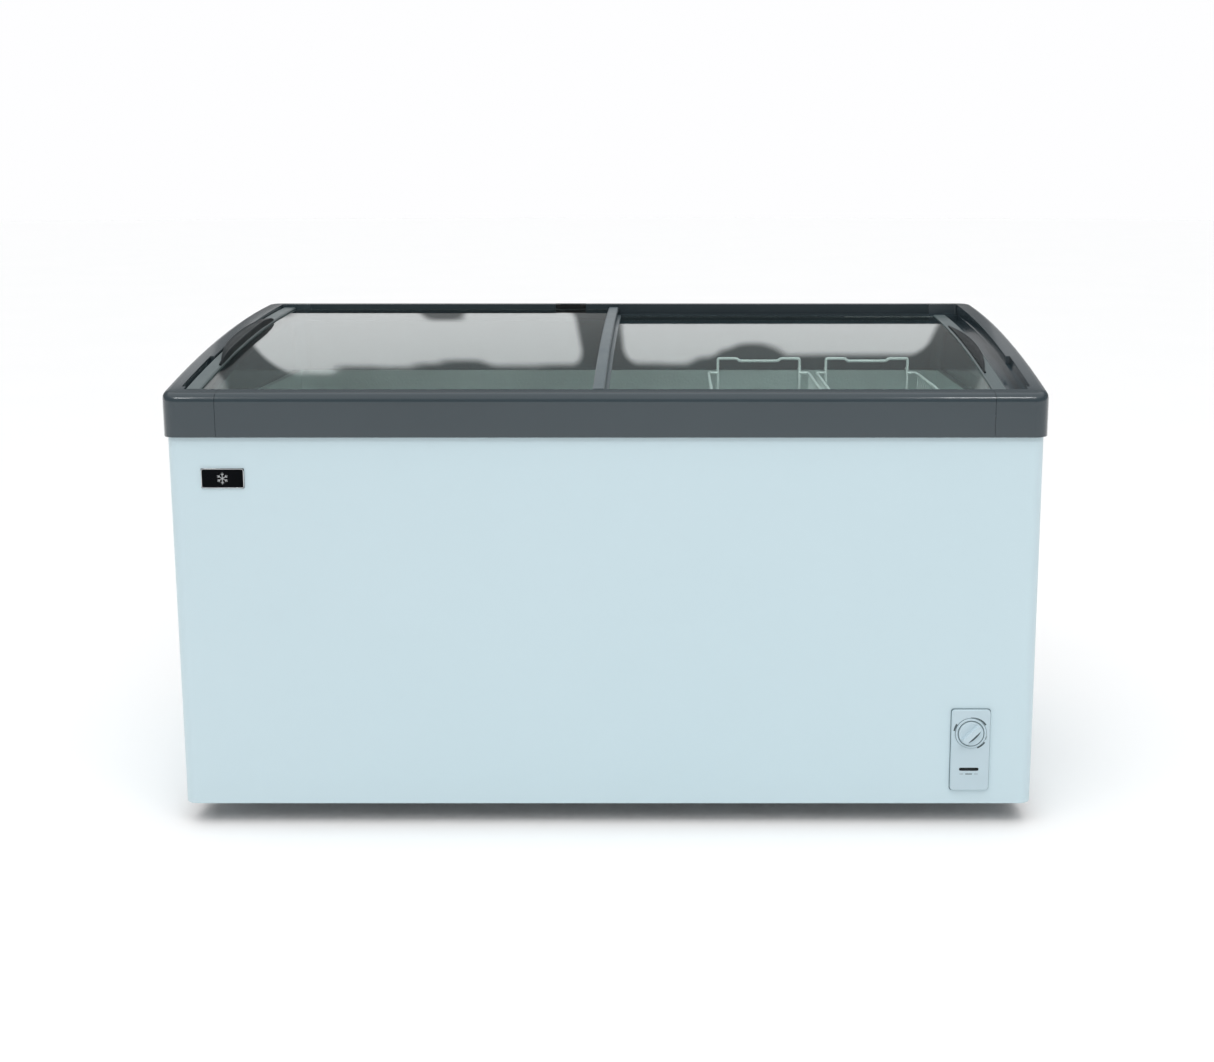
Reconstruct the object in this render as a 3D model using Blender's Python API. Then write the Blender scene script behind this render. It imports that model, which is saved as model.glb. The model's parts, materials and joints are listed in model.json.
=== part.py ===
"""Chest freezer with two curved sliding glass doors, modelled in metres, +Z up, front towards -Y."""
import math

import bmesh
import bpy
from mathutils import Vector

# ---- overall size
WIDTH = 1.500
DEPTH = 0.700
GAP = 0.0003            # clearance between touching pieces

# ---- cabinet
WRAP_X = 0.744
WRAP_Y = 0.344
WRAP_BOTTOM = 0.040
WRAP_TOP = 0.723
SHEET = 0.0008
WRAP_CORNER = 0.022
FLANGE = 0.032          # the wrap turns this far round onto the back
PAN_Z = (0.0520, 0.0540)
FOAM_X = 0.7425
FOAM_FRONT = -0.3365
FOAM_REAR = 0.3425
FOAM_Z = (0.0545, 0.7210)

# ---- liner
LINER_X = 0.670
LINER_Y = 0.280
LINER_FLOOR = 0.110
STEP_X = 0.360
STEP_Z = 0.380
LINER_WALL = 0.0012
RIM_Z = (0.7215, 0.7227)
COIL_GAP = 0.0086
BAY_X = 0.420           # the compressor bay starts here
BAY_TOP = 0.330

# ---- top frame: its top follows one circular arc from front to back
ARC_RADIUS = 3.600
ARC_Y = 0.487
ARC_TOP = 0.8636
TRACK_FALL = 0.009      # the door tracks drop this much per metre below the frame's arc, towards the back
FRAME_BOTTOM = 0.693
FRAME_EDGE = 0.012
FRAME_CORNER = 0.028
SEAM_X = 0.656          # where the end caps meet the straight rails
LIP = (0.7150, 0.3225)
LEDGE_UPPER = -0.0145
LEDGE_LOWER = -0.0275
HOLLOW_TOP = -0.0335
SKIN = 0.004

# ---- doors: heights are measured from the track line
GLASS = 0.004
UPPER_GLASS = -0.004
LOWER_GLASS = -0.017
UPPER_Y = 0.320
LOWER_Y = 0.303
UPPER_X = (-0.7130, -0.0025)
LOWER_X = (-0.0225, 0.6890)
MOULDING = 0.0255
HANDLE_Y = (-0.200, 0.150)

# ---- baskets
BASKET_X = (0.2933, 0.5200)
BASKET_HALF = (0.1080, 0.2700)
BASKET_Z = (0.500, 0.722)
BASKET_WALL = 0.0030
HANGER_TOP = 0.752

# ---- controls on the front
PANEL_X = 0.6315
PANEL_Z = (0.066, 0.213)
PANEL_HALF = 0.0337
KNOB_Z = 0.171
FRONT_MOST = -0.362     # the knob's grip
REAR_MOST = 0.362       # the wall spacers
LAMP_X = 0.630
LAMP_Z = 0.105

# ---- casters
CASTER_X = 0.660
CASTER_Y = 0.235
TRAIL = 0.012
WHEEL_R = 0.017
AXLE_R = 0.003

# ---- drain
DRAIN = (-0.550, 0.0)

WHITE = (0.80, 0.87, 0.89)
GREY = (0.075, 0.095, 0.105)
DARK = (0.03, 0.04, 0.045)
BLACK = (0.01, 0.01, 0.012)
STEEL = (0.45, 0.46, 0.47)
COPPER = (0.60, 0.28, 0.15)
CLEAR = (0.70, 0.80, 0.80)


def clear_scene():
    """Remove what the start-up file brings."""
    for item in list(bpy.data.objects):
        bpy.data.objects.remove(item, do_unlink=True)


def material(name, colour, roughness=0.5, metallic=0.0):
    """One plain finish for one sub-part."""
    mat = bpy.data.materials.new(name)
    mat.use_nodes = True
    shader = mat.node_tree.nodes["Principled BSDF"]
    shader.inputs["Base Color"].default_value = (*colour, 1.0)
    shader.inputs["Roughness"].default_value = roughness
    shader.inputs["Metallic"].default_value = metallic
    return mat


def make(name, verts, faces, colour, roughness=0.5, metallic=0.0, smooth=False):
    """A mesh object with its faces turned outwards."""
    bm = bmesh.new()
    corners = [bm.verts.new(v) for v in verts]
    for face in faces:
        bm.faces.new([corners[i] for i in face])
    bmesh.ops.recalc_face_normals(bm, faces=bm.faces)
    mesh = bpy.data.meshes.new(name)
    bm.to_mesh(mesh)
    bm.free()
    if smooth:
        mesh.shade_smooth()
        mesh.set_sharp_from_angle(angle=math.radians(35))
    mesh.materials.append(material(name, colour, roughness, metallic))
    item = bpy.data.objects.new(name, mesh)
    bpy.context.collection.objects.link(item)
    return item


def loft(name, stations, colour, closed=False, **look):
    """Skin a row of sections with the same number of points; an open row gets flat ends."""
    count = len(stations[0])
    verts = [point for section in stations for point in section]
    rows = len(stations)
    faces = []
    for row in range(rows if closed else rows - 1):
        base = row * count
        following = ((row + 1) % rows) * count
        for i in range(count):
            j = (i + 1) % count
            faces.append((base + i, base + j, following + j, following + i))
    if not closed:
        faces.append(tuple(range(count)))
        faces.append(tuple(range((rows - 1) * count, rows * count)))
    return make(name, verts, faces, colour, **look)


def box(name, x, y, z, colour, **look):
    """A block between two corners, each given as (low, high)."""
    section = [(x[0], y[0]), (x[1], y[0]), (x[1], y[1]), (x[0], y[1])]
    return loft(name, [[(px, py, pz) for px, py in section] for pz in z], colour, **look)


def boxes(name, blocks, colour):
    """Several separate blocks in one object, used as one cutter."""
    verts = []
    faces = []
    for x, y, z in blocks:
        n = len(verts)
        verts += [(px, py, pz) for pz in z for px, py in
                  ((x[0], y[0]), (x[1], y[0]), (x[1], y[1]), (x[0], y[1]))]
        faces += [tuple(n + i for i in face) for face in
                  ((0, 3, 2, 1), (4, 5, 6, 7), (0, 1, 5, 4), (1, 2, 6, 5), (2, 3, 7, 6), (3, 0, 4, 7))]
    return make(name, verts, faces, colour)


def turned(name, centre, axis, profile, colour, sides=24, **look):
    """Circles of (distance along axis, radius) skinned into a round piece."""
    along = Vector(axis)
    side = along.orthogonal().normalized()
    other = along.cross(side)
    stations = []
    for height, radius in profile:
        stations.append([
            tuple(Vector(centre) + along * height
                  + side * (radius * math.cos(math.tau * i / sides))
                  + other * (radius * math.sin(math.tau * i / sides)))
            for i in range(sides)])
    return loft(name, stations, colour, smooth=True, **look)


def ring(name, centre, axis, section, colour, sides=24, **look):
    """A section of (radius, distance along axis) carried round the axis, leaving a hole."""
    along = Vector(axis)
    side = along.orthogonal().normalized()
    other = along.cross(side)
    stations = []
    for i in range(sides):
        angle = math.tau * i / sides
        out = side * math.cos(angle) + other * math.sin(angle)
        stations.append([tuple(Vector(centre) + out * r + along * h) for r, h in section])
    return loft(name, stations, colour, closed=True, smooth=True, **look)


def tube(name, points, radius, colour, sides=8, **look):
    """A round tube along a row of points."""
    path = [Vector(p) for p in points]
    normal = (path[1] - path[0]).orthogonal().normalized()
    stations = []
    for i, point in enumerate(path):
        before = path[max(i - 1, 0)]
        after = path[min(i + 1, len(path) - 1)]
        along = (after - before).normalized()
        normal = (normal - along * normal.dot(along)).normalized()
        other = along.cross(normal)
        stations.append([
            tuple(point + normal * (radius * math.cos(math.tau * k / sides))
                  + other * (radius * math.sin(math.tau * k / sides)))
            for k in range(sides)])
    return loft(name, stations, colour, smooth=True, **look)


def combine(target, tool, operation):
    """Join or cut with an exact Boolean; the tool is hidden."""
    step = target.modifiers.new(operation.lower(), 'BOOLEAN')
    step.operation = operation
    step.solver = 'EXACT'
    step.object = tool
    tool.hide_render = True
    tool.hide_viewport = False
    tool.display_type = 'WIRE'


def cut(target, *tools):
    """Take the tools' shapes out of the target."""
    for tool in tools:
        combine(target, tool, 'DIFFERENCE')


def join(target, *tools):
    """Add the tools' shapes to the target."""
    for tool in tools:
        combine(target, tool, 'UNION')


def arc(y):
    """Height of the frame's top arc."""
    return ARC_TOP - ARC_RADIUS + math.sqrt(ARC_RADIUS ** 2 - (y - ARC_Y) ** 2)


def track(y):
    """Height of the line that the doors and their ledges follow, a little below the arc towards the back."""
    return arc(y) - TRACK_FALL * (y + DEPTH / 2)


def spread(low, high, count):
    """Evenly spaced values from low to high."""
    return [low + (high - low) * i / (count - 1) for i in range(count)]


def bent(name, section, y, colour, count=13, **look):
    """A section of (x, height from the track line) carried from front to back along it."""
    stations = [[(x, py, track(py) + up) for x, up in section] for py in spread(*y, count)]
    return loft(name, stations, colour, **look)


def rounded(half_x, half_y, radius, steps=4):
    """Outline of a rectangle with round corners."""
    points = []
    for cx, cy, start in ((1, -1, -90), (1, 1, 0), (-1, 1, 90), (-1, -1, 180)):
        for i in range(steps + 1):
            angle = math.radians(start + 90 * i / steps)
            points.append((cx * (half_x - radius) + radius * math.cos(angle),
                           cy * (half_y - radius) + radius * math.sin(angle)))
    return points


# ---------------------------------------------------------------- top frame

def level(_):
    """The line for heights that are measured from the floor."""
    return 0.0


def frame_rings():
    """The frame's section as rings: half width, half depth, corner radius, height, line it follows."""
    rings = [(WIDTH / 2, DEPTH / 2, FRAME_CORNER, FRAME_BOTTOM, level)]
    for angle in (0, 22.5, 45, 67.5, 90):
        inset = FRAME_EDGE * (1 - math.cos(math.radians(angle)))
        drop = FRAME_EDGE * (1 - math.sin(math.radians(angle)))
        rings.append((WIDTH / 2 - inset, DEPTH / 2 - inset, FRAME_CORNER - inset, -drop, arc))
    throat = (0.682, 0.291, 0.020)
    pocket = (0.7135, 0.306, 0.003)
    inside = (throat[0] + SKIN, throat[1] + SKIN, throat[2] + SKIN)
    outside = (WIDTH / 2 - SKIN, DEPTH / 2 - SKIN, FRAME_CORNER - SKIN)
    rings += [
        (*LIP, 0.004, 0.0, arc),
        (*LIP, 0.004, LEDGE_UPPER, track),
        (*pocket, LEDGE_UPPER, track),
        (*pocket, LEDGE_LOWER, track),
        (*throat, LEDGE_LOWER, track),
        (*throat, WRAP_TOP, level),
        (*inside, WRAP_TOP, level),
        (*inside, HOLLOW_TOP, track),
        (*outside, HOLLOW_TOP, track),
        (*outside, FRAME_BOTTOM, level),
    ]
    return rings


def cap_outline(half_x, half_y, radius):
    """Plan line of an end cap, from its front seam round the end to its rear seam."""
    points = [(SEAM_X + GAP, -half_y)]
    for i in range(6):
        angle = math.radians(-90 + 18 * i)
        points.append((half_x - radius + radius * math.cos(angle),
                       radius - half_y + radius * math.sin(angle)))
    points += [(half_x, y) for y in spread(radius - half_y, half_y - radius, 12)[1:-1]]
    for i in range(6):
        angle = math.radians(18 * i)
        points.append((half_x - radius + radius * math.cos(angle),
                       half_y - radius + radius * math.sin(angle)))
    points.append((SEAM_X + GAP, half_y))
    return points


def top_frame():
    """Front and rear rails, two end caps and the lock strike."""
    rings = frame_rings()
    for side, name in ((-1, "left_end_cap"), (1, "right_end_cap")):
        lines = [[(side * x, y, line(y) + h) for x, y in cap_outline(hx, hy, r)]
                 for hx, hy, r, h, line in rings]
        stations = [[line[i] for line in lines] for i in range(len(lines[0]))]
        cap = loft(name, stations, GREY, roughness=0.35, smooth=True)
        near = side * (LIP[0] - 0.001)
        far = side * (LIP[0] + 0.007)
        x = (min(near, far), max(near, far))
        section = [(x[0], LEDGE_UPPER + 0.002), (x[1], LEDGE_UPPER + 0.002), (x[1], 0.020), (x[0], 0.020)]
        cut(cap, bent(name + "_notch_tool", section, (-0.310, -0.150), BLACK, count=5))
    for side, name in ((-1, "front_rail"), (1, "rear_rail")):
        end = SEAM_X - GAP
        stations = [[(x, side * hy, line(side * hy) + h) for _, hy, _, h, line in rings] for x in (-end, end)]
        rail = loft(name, stations, GREY, roughness=0.35, smooth=True)
        if side > 0:
            slot_y = (LIP[1] - 0.001, LIP[1] + 0.0150)
            height = (arc(LIP[1]) - 0.0100, arc(LIP[1]) + 0.010)
            cut(rail, box("strike_pocket_tool", (-0.1359, -0.0714), slot_y, height, BLACK))
    strike = box("lock_strike", (-0.1356, -0.0717), (LIP[1] + 0.0005, LIP[1] + 0.0147),
                 (arc(LIP[1]) - 0.0097, arc(LIP[1]) - 0.0008), BLACK, roughness=0.4)
    cut(strike, box("strike_slot_tool", (-0.1250, -0.0823), (LIP[1] + 0.004, LIP[1] + 0.010),
                    (arc(LIP[1]) - 0.006, arc(LIP[1]) + 0.010), BLACK))


# ---------------------------------------------------------------- cabinet

def bent_sheet(x, y, corner, thickness):
    """Plan outline of the wrap: front, two sides and a short return at the back, as one bent sheet."""
    lines = []
    for inset in (0.0, thickness):
        line = [(FLANGE - x, y - inset)]
        for cy, start in ((y - corner, 90), (corner - y, 180)):
            for i in range(5):
                angle = math.radians(start + 22.5 * i)
                line.append((corner - x + (corner - inset) * math.cos(angle),
                             cy + (corner - inset) * math.sin(angle)))
        lines.append(line + [(-px, py) for px, py in reversed(line)])
    return lines[0] + lines[1][::-1]


def vent(name, across, z, flat, colour, facing):
    """A louvred plate set flush in a wall that faces along X or Y."""
    def turn(span, depth, height):
        return (depth, span, height) if facing == "x" else (span, depth, height)

    plate = box(name, *turn((across[0] + GAP, across[1] - GAP), flat, (z[0] + GAP, z[1] - GAP)), colour)
    middle = (across[0] + across[1]) / 2
    columns = ((across[0] + 0.010, middle - 0.004), (middle + 0.004, across[1] - 0.010))
    rows = int((z[1] - z[0] - 0.014) / 0.016)
    slots = []
    for row in range(rows):
        low = z[0] + 0.012 + 0.016 * row
        for column in columns:
            slots.append(turn(column, (flat[0] - 0.01, flat[1] + 0.01), (low, low + 0.007)))
    cut(plate, boxes(name + "_slots_tool", slots, BLACK))


def cabinet():
    """Painted shell, rear panel, base pan, vents, spacers and cord gland."""
    outline = bent_sheet(WRAP_X, WRAP_Y, WRAP_CORNER, SHEET)
    wrap = loft("cabinet_wrap", [[(x, y, z) for x, y in outline] for z in (WRAP_BOTTOM, WRAP_TOP - GAP)],
                WHITE, roughness=0.3, smooth=True)
    vent_z = (0.090, 0.250)
    side_y = (-0.120, 0.120)
    cut(wrap,
        box("side_vent_tool", (WRAP_X - 0.01, WRAP_X + 0.01), side_y, vent_z, BLACK),
        turned("wrap_shaft_tool", (PANEL_X, -WRAP_Y, KNOB_Z), (0, 1, 0), ((-0.01, 0.0033), (0.01, 0.0033)),
               BLACK))
    vent("side_vent_grille", side_y, vent_z, (WRAP_X - 0.0020, WRAP_X - 0.0001), WHITE, "x")

    inner_x = WRAP_X - FLANGE - GAP
    rear = box("rear_panel", (-inner_x, inner_x), (WRAP_Y - SHEET, WRAP_Y), (WRAP_BOTTOM + 0.001, WRAP_TOP - GAP),
               STEEL, roughness=0.4, metallic=0.8)
    rear_x = (0.450, 0.710)
    gland = (0.300, WRAP_Y, 0.120)
    cut(rear, box("rear_vent_tool", rear_x, (WRAP_Y - 0.01, WRAP_Y + 0.01), vent_z, BLACK))
    vent("rear_vent_grille", rear_x, vent_z, (WRAP_Y - 0.0020, WRAP_Y - 0.0001), STEEL, "y")
    ring("cord_gland", gland, (0, 1, 0), ((0.0045, GAP), (0.013, GAP), (0.013, 0.004), (0.008, 0.013),
                                           (0.0045, 0.013)), BLACK, sides=20)
    for side, name in ((-1, "rear_spacer_left"), (1, "rear_spacer_right")):
        x = side * 0.550
        box(name, (x - 0.020, x + 0.020), (WRAP_Y + GAP, REAR_MOST), (0.560, 0.640), BLACK)

    pan = loft("base_pan", [[(x, y, z) for x, y in rounded(FOAM_X, FOAM_REAR, WRAP_CORNER)] for z in PAN_Z],
               STEEL, metallic=0.8)
    for sx in (-1, 1):
        for sy in (-1, 1):
            cut(pan, turned("pin_tool", (sx * CASTER_X, sy * CASTER_Y, PAN_Z[0]), (0, 0, 1),
                            ((-0.01, 0.0043), (0.01, 0.0043)), BLACK))
    cut(pan, turned("pan_drain_tool", (*DRAIN, PAN_Z[0]), (0, 0, 1), ((-0.01, 0.0131), (0.01, 0.0131)), BLACK))


def tub_profile(grow):
    """Side profile of the inner space, with its step over the compressor bay, grown by a wall."""
    right = LINER_X + grow
    return [(-right, LINER_FLOOR - grow), (STEP_X + grow, LINER_FLOOR - grow), (STEP_X + grow, STEP_Z - grow),
            (right, STEP_Z - grow), (right, RIM_Z[1]), (-right, RIM_Z[1])]


def tub(name, grow, colour, top=None):
    """A solid of the inner space grown by a wall; top raises its upper end."""
    profile = [(x, top if top and z == RIM_Z[1] else z) for x, z in tub_profile(grow)]
    y = LINER_Y + grow
    return loft(name, [[(x, py, z) for x, z in profile] for py in (-y, y)], colour)


def inside():
    """Foam, aluminium liner, evaporator, condenser and drain."""
    middle_y = (FOAM_FRONT + FOAM_REAR) / 2
    outline = rounded(FOAM_X, (FOAM_REAR - FOAM_FRONT) / 2, WRAP_CORNER + 0.002)
    foam = loft("foam_insulation", [[(x, y + middle_y, z) for x, y in outline] for z in FOAM_Z],
                (0.85, 0.78, 0.45), roughness=0.9)
    cut(foam,
        tub("foam_cavity_tool", LINER_WALL + COIL_GAP, BLACK, top=0.75),
        box("bay_tool", (BAY_X, 0.80), (-0.40, 0.40), (0.0, BAY_TOP), BLACK),
        turned("foam_drain_tool", (*DRAIN, 0.08), (0, 0, 1), ((-0.05, 0.0131), (0.05, 0.0131)), BLACK))

    liner = tub("inner_liner", LINER_WALL, (0.72, 0.74, 0.74), top=None)
    rim_x = LINER_X + 0.030
    rim_y = LINER_Y + 0.030
    join(liner, box("rim_tool", (-rim_x, rim_x), (-rim_y, rim_y), RIM_Z, BLACK))
    cut(liner,
        tub("liner_space_tool", 0.0, BLACK, top=0.75),
        turned("liner_drain_tool", (*DRAIN, LINER_FLOOR), (0, 0, 1), ((-0.01, 0.0143), (0.01, 0.0143)), BLACK))
    turned("drain_plug", (*DRAIN, LINER_FLOOR), (0, 0, 1),
           ((-0.0020, 0.0135), (GAP, 0.0140), (2 * GAP, 0.0200), (0.0050, 0.0190), (0.0052, 0.0060),
            (0.0160, 0.0050), (0.0170, 0.0040)), WHITE)
    ring("drain_tube", (*DRAIN, 0.0), (0, 0, 1),
         ((0.0100, 0.0500), (0.0128, 0.0500), (0.0128, 0.1070), (0.0100, 0.1070)), WHITE, sides=20)

    turns = 3
    middle = LINER_WALL + COIL_GAP / 2
    outline = rounded(LINER_X + middle, LINER_Y + middle, 0.0045, steps=3)
    path = []
    for i in range(turns * len(outline)):
        x, y = outline[i % len(outline)]
        path.append((x, y, 0.660 - 0.080 * i / len(outline)))
    tube("evaporator_coil", path, 0.0030, COPPER, sides=6, metallic=1.0)

    bends = []
    runs = 8
    low, high = 0.110, 0.640
    spacing = 0.130
    for run in range(runs):
        x = -0.620 + spacing * run
        ends = (low, high) if run % 2 == 0 else (high, low)
        bends.append((x, ends[0]))
        bends.append((x, ends[1]))
        if run < runs - 1:
            lift = 0.035 if run % 2 == 0 else -0.035
            for angle in (30, 60, 90, 120, 150):
                bend_x = x + spacing / 2 * (1 - math.cos(math.radians(angle)))
                bends.append((bend_x, ends[1] + lift * math.sin(math.radians(angle))))
    tube("condenser_coil", [(x, -0.33985, z) for x, z in bends], 0.0025, STEEL, sides=6)


def cooling():
    """Compressor and the pieces round it in the bay at the right end."""
    x, y = 0.600, 0.120
    turned("compressor", (x, y, 0.0), (0, 0, 1),
           ((0.0780, 0.055), (0.0860, 0.068), (0.1300, 0.074), (0.1340, 0.077), (0.1400, 0.077), (0.1440, 0.074),
            (0.2000, 0.068), (0.2280, 0.050), (0.2380, 0.022)), BLACK, sides=28)
    box("compressor_plate", (x - 0.090, x + 0.090), (y - 0.090, y + 0.090), (0.0745, 0.0775), STEEL, metallic=0.9)
    for i, (sx, sy) in enumerate(((-1, -1), (1, -1), (-1, 1), (1, 1)), 1):
        turned(f"grommet_{i}", (x + sx * 0.076, y + sy * 0.076, 0.0), (0, 0, 1),
               ((PAN_Z[1] + GAP, 0.012), (0.0600, 0.009), (0.0640, 0.009), (0.0745 - GAP, 0.012)), BLACK, sides=12)
    box("relay_cover", (x - 0.112, x - 0.0780), (y - 0.030, y + 0.030), (0.110, 0.180), BLACK)
    turned("filter_drier", (0.455, 0.270, 0.0), (0, 0, 1),
           ((0.140, 0.004), (0.150, 0.011), (0.230, 0.011), (0.240, 0.004)), COPPER, sides=14, metallic=1.0)
    rise = [(x, y, 0.2385), (x, y, 0.262)]
    rise += [(x, y + 0.100 * t, 0.270 + 0.006 * math.sin(math.pi * t)) for t in (0.15, 0.4, 0.65, 0.9)]
    rise += [(x, y + 0.106, 0.285), (x, y + 0.106, BAY_TOP - GAP)]
    tube("suction_pipe", rise, 0.0040, COPPER, sides=8, metallic=1.0)

    fan = (0.585, -0.130, 0.165)
    bracket = box("fan_bracket", (0.475, 0.695), (fan[1] - 0.0015, fan[1] + 0.0015), (PAN_Z[1] + GAP, 0.276), STEEL,
                  metallic=0.8)
    cut(bracket, turned("fan_hole_tool", fan, (0, 1, 0), ((-0.01, 0.088), (0.01, 0.088)), BLACK, sides=32))
    turned("fan_motor", fan, (0, 1, 0), ((0.009, 0.006), (0.014, 0.028), (0.050, 0.028), (0.055, 0.020)), STEEL,
           sides=20)
    blades = 5
    front = []
    back = []
    for i in range(blades * 8):
        turn = math.tau * i / (blades * 8)
        reach = 0.052 + 0.030 * math.sin(blades * turn)
        for line, twist, depth in ((front, -0.16, -0.006), (back, 0.16, 0.006)):
            line.append((fan[0] + reach * math.cos(turn + twist), fan[1] + depth,
                         fan[2] + reach * math.sin(turn + twist)))
    loft("fan_blade", [front, back], WHITE)


# ---------------------------------------------------------------- doors

def runner(name, side, y_out, width, top, bottom, x):
    """A plastic strip under the glass that slides on a ledge of the frame."""
    section = []
    for py, up in ((y_out, bottom), (y_out - width, bottom), (y_out - width, top), (y_out, top)):
        section.append((side * py, track(side * py) + up))
    loft(name, [[(px, py, pz) for py, pz in section] for px in x], BLACK, roughness=0.6)


def crescent(name, straight, bulge, bottom, top):
    """A crescent grip: straight beside the glass, bowed towards the end of the cabinet."""
    count = 17
    ridge = 0.0025
    stations = []
    for i, y in enumerate(spread(*HANDLE_Y, count)):
        t = i / (count - 1)
        reach = math.copysign(0.004, bulge) + bulge * math.sin(math.pi * t) ** 0.8
        rise = ridge + (top - bottom - ridge) * min(1.0, 5 * t, 5 * (1 - t)) ** 0.5
        edge = straight + reach
        soft = math.copysign(0.0025, bulge)
        section = ((straight, bottom), (straight, bottom + rise), (edge - soft, bottom + rise),
                   (edge, bottom + rise * 0.6), (edge, bottom))
        stations.append([(x, y, track(y) + up) for x, up in section])
    loft(name, stations, DARK, roughness=0.35, smooth=True)


def doors():
    """Both curved doors, each with glass, end moulding, grip, inner profile and runners."""
    left, right = UPPER_X
    glass_top = UPPER_GLASS
    glass_low = UPPER_GLASS - GLASS
    bottom = -0.0088
    inner = left + MOULDING
    edge = inner - 0.0030
    bent("left_door_glass",
         [(edge, glass_low), (right - 0.0118, glass_low), (right - 0.0118, glass_top), (edge, glass_top)],
         (-UPPER_Y, UPPER_Y), CLEAR, roughness=0.05)
    bent("left_door_end_moulding",
         [(left, bottom), (inner, bottom), (inner, glass_low - GAP), (edge - GAP, glass_low - GAP),
          (edge - GAP, glass_top + GAP), (inner, glass_top + GAP), (inner, -0.0020), (inner - 0.002, 0.0),
          (left + 0.002, 0.0), (left, -0.0020)], (-UPPER_Y, UPPER_Y), GREY, roughness=0.4)
    bent("left_door_inner_profile",
         [(right - 0.020, bottom), (right, bottom), (right, -0.0010), (right - 0.002, 0.0005),
          (right - 0.018, 0.0005), (right - 0.020, -0.0010), (right - 0.020, glass_top + GAP),
          (right - 0.0115, glass_top + GAP), (right - 0.0115, glass_low - GAP),
          (right - 0.020, glass_low - GAP)], (-UPPER_Y, UPPER_Y), (0.16, 0.19, 0.20), roughness=0.4)
    bent("brush_seal",
         [(right - 0.013, -0.0140), (right - 0.007, -0.0140), (right - 0.007, bottom - GAP),
          (right - 0.013, bottom - GAP)], (-0.300, 0.300), BLACK, roughness=0.9)
    crescent("left_door_handle", inner - 0.0008, -0.0190, GAP, 0.0120)
    for side, name in ((-1, "left_door_front_runner"), (1, "left_door_rear_runner")):
        runner(name, side, UPPER_Y - 0.0010, 0.0120, glass_low - GAP, LEDGE_UPPER + GAP,
               (inner + 0.002, right - 0.022))

    left, right = LOWER_X
    glass_top = LOWER_GLASS
    glass_low = LOWER_GLASS - GLASS
    bottom = LOWER_GLASS - GLASS - 0.0018
    inner = right - MOULDING
    edge = inner + 0.0030
    start = left + 0.0118
    bent("right_door_glass", [(start, glass_low), (edge, glass_low), (edge, glass_top), (start, glass_top)],
         (-LOWER_Y, LOWER_Y), CLEAR, roughness=0.05)
    bent("right_door_end_moulding",
         [(inner, bottom), (right, bottom), (right, -0.0155), (right - 0.002, -0.0140), (inner + 0.002, -0.0140),
          (inner, -0.0155), (inner, glass_top + GAP), (edge + GAP, glass_top + GAP), (edge + GAP, glass_low - GAP),
          (inner, glass_low - GAP)], (-LOWER_Y, LOWER_Y), GREY, roughness=0.4)
    bent("right_door_inner_profile",
         [(left, bottom), (left + 0.026, bottom), (left + 0.026, glass_low - GAP), (left + 0.0115, glass_low - GAP),
          (left + 0.0115, glass_top + GAP), (left + 0.026, glass_top + GAP), (left + 0.026, -0.0155),
          (left + 0.024, -0.0143), (left, -0.0143)], (-LOWER_Y, LOWER_Y), GREY, roughness=0.4)
    crescent("right_door_handle", inner + 0.0030, 0.0170, -0.0137, -0.0094)
    for side, name in ((-1, "right_door_front_runner"), (1, "right_door_rear_runner")):
        runner(name, side, LOWER_Y - 0.0005, 0.0110, glass_low - GAP, LEDGE_LOWER + GAP,
               (left + 0.028, inner - 0.002))


# ---------------------------------------------------------------- front fittings

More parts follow.
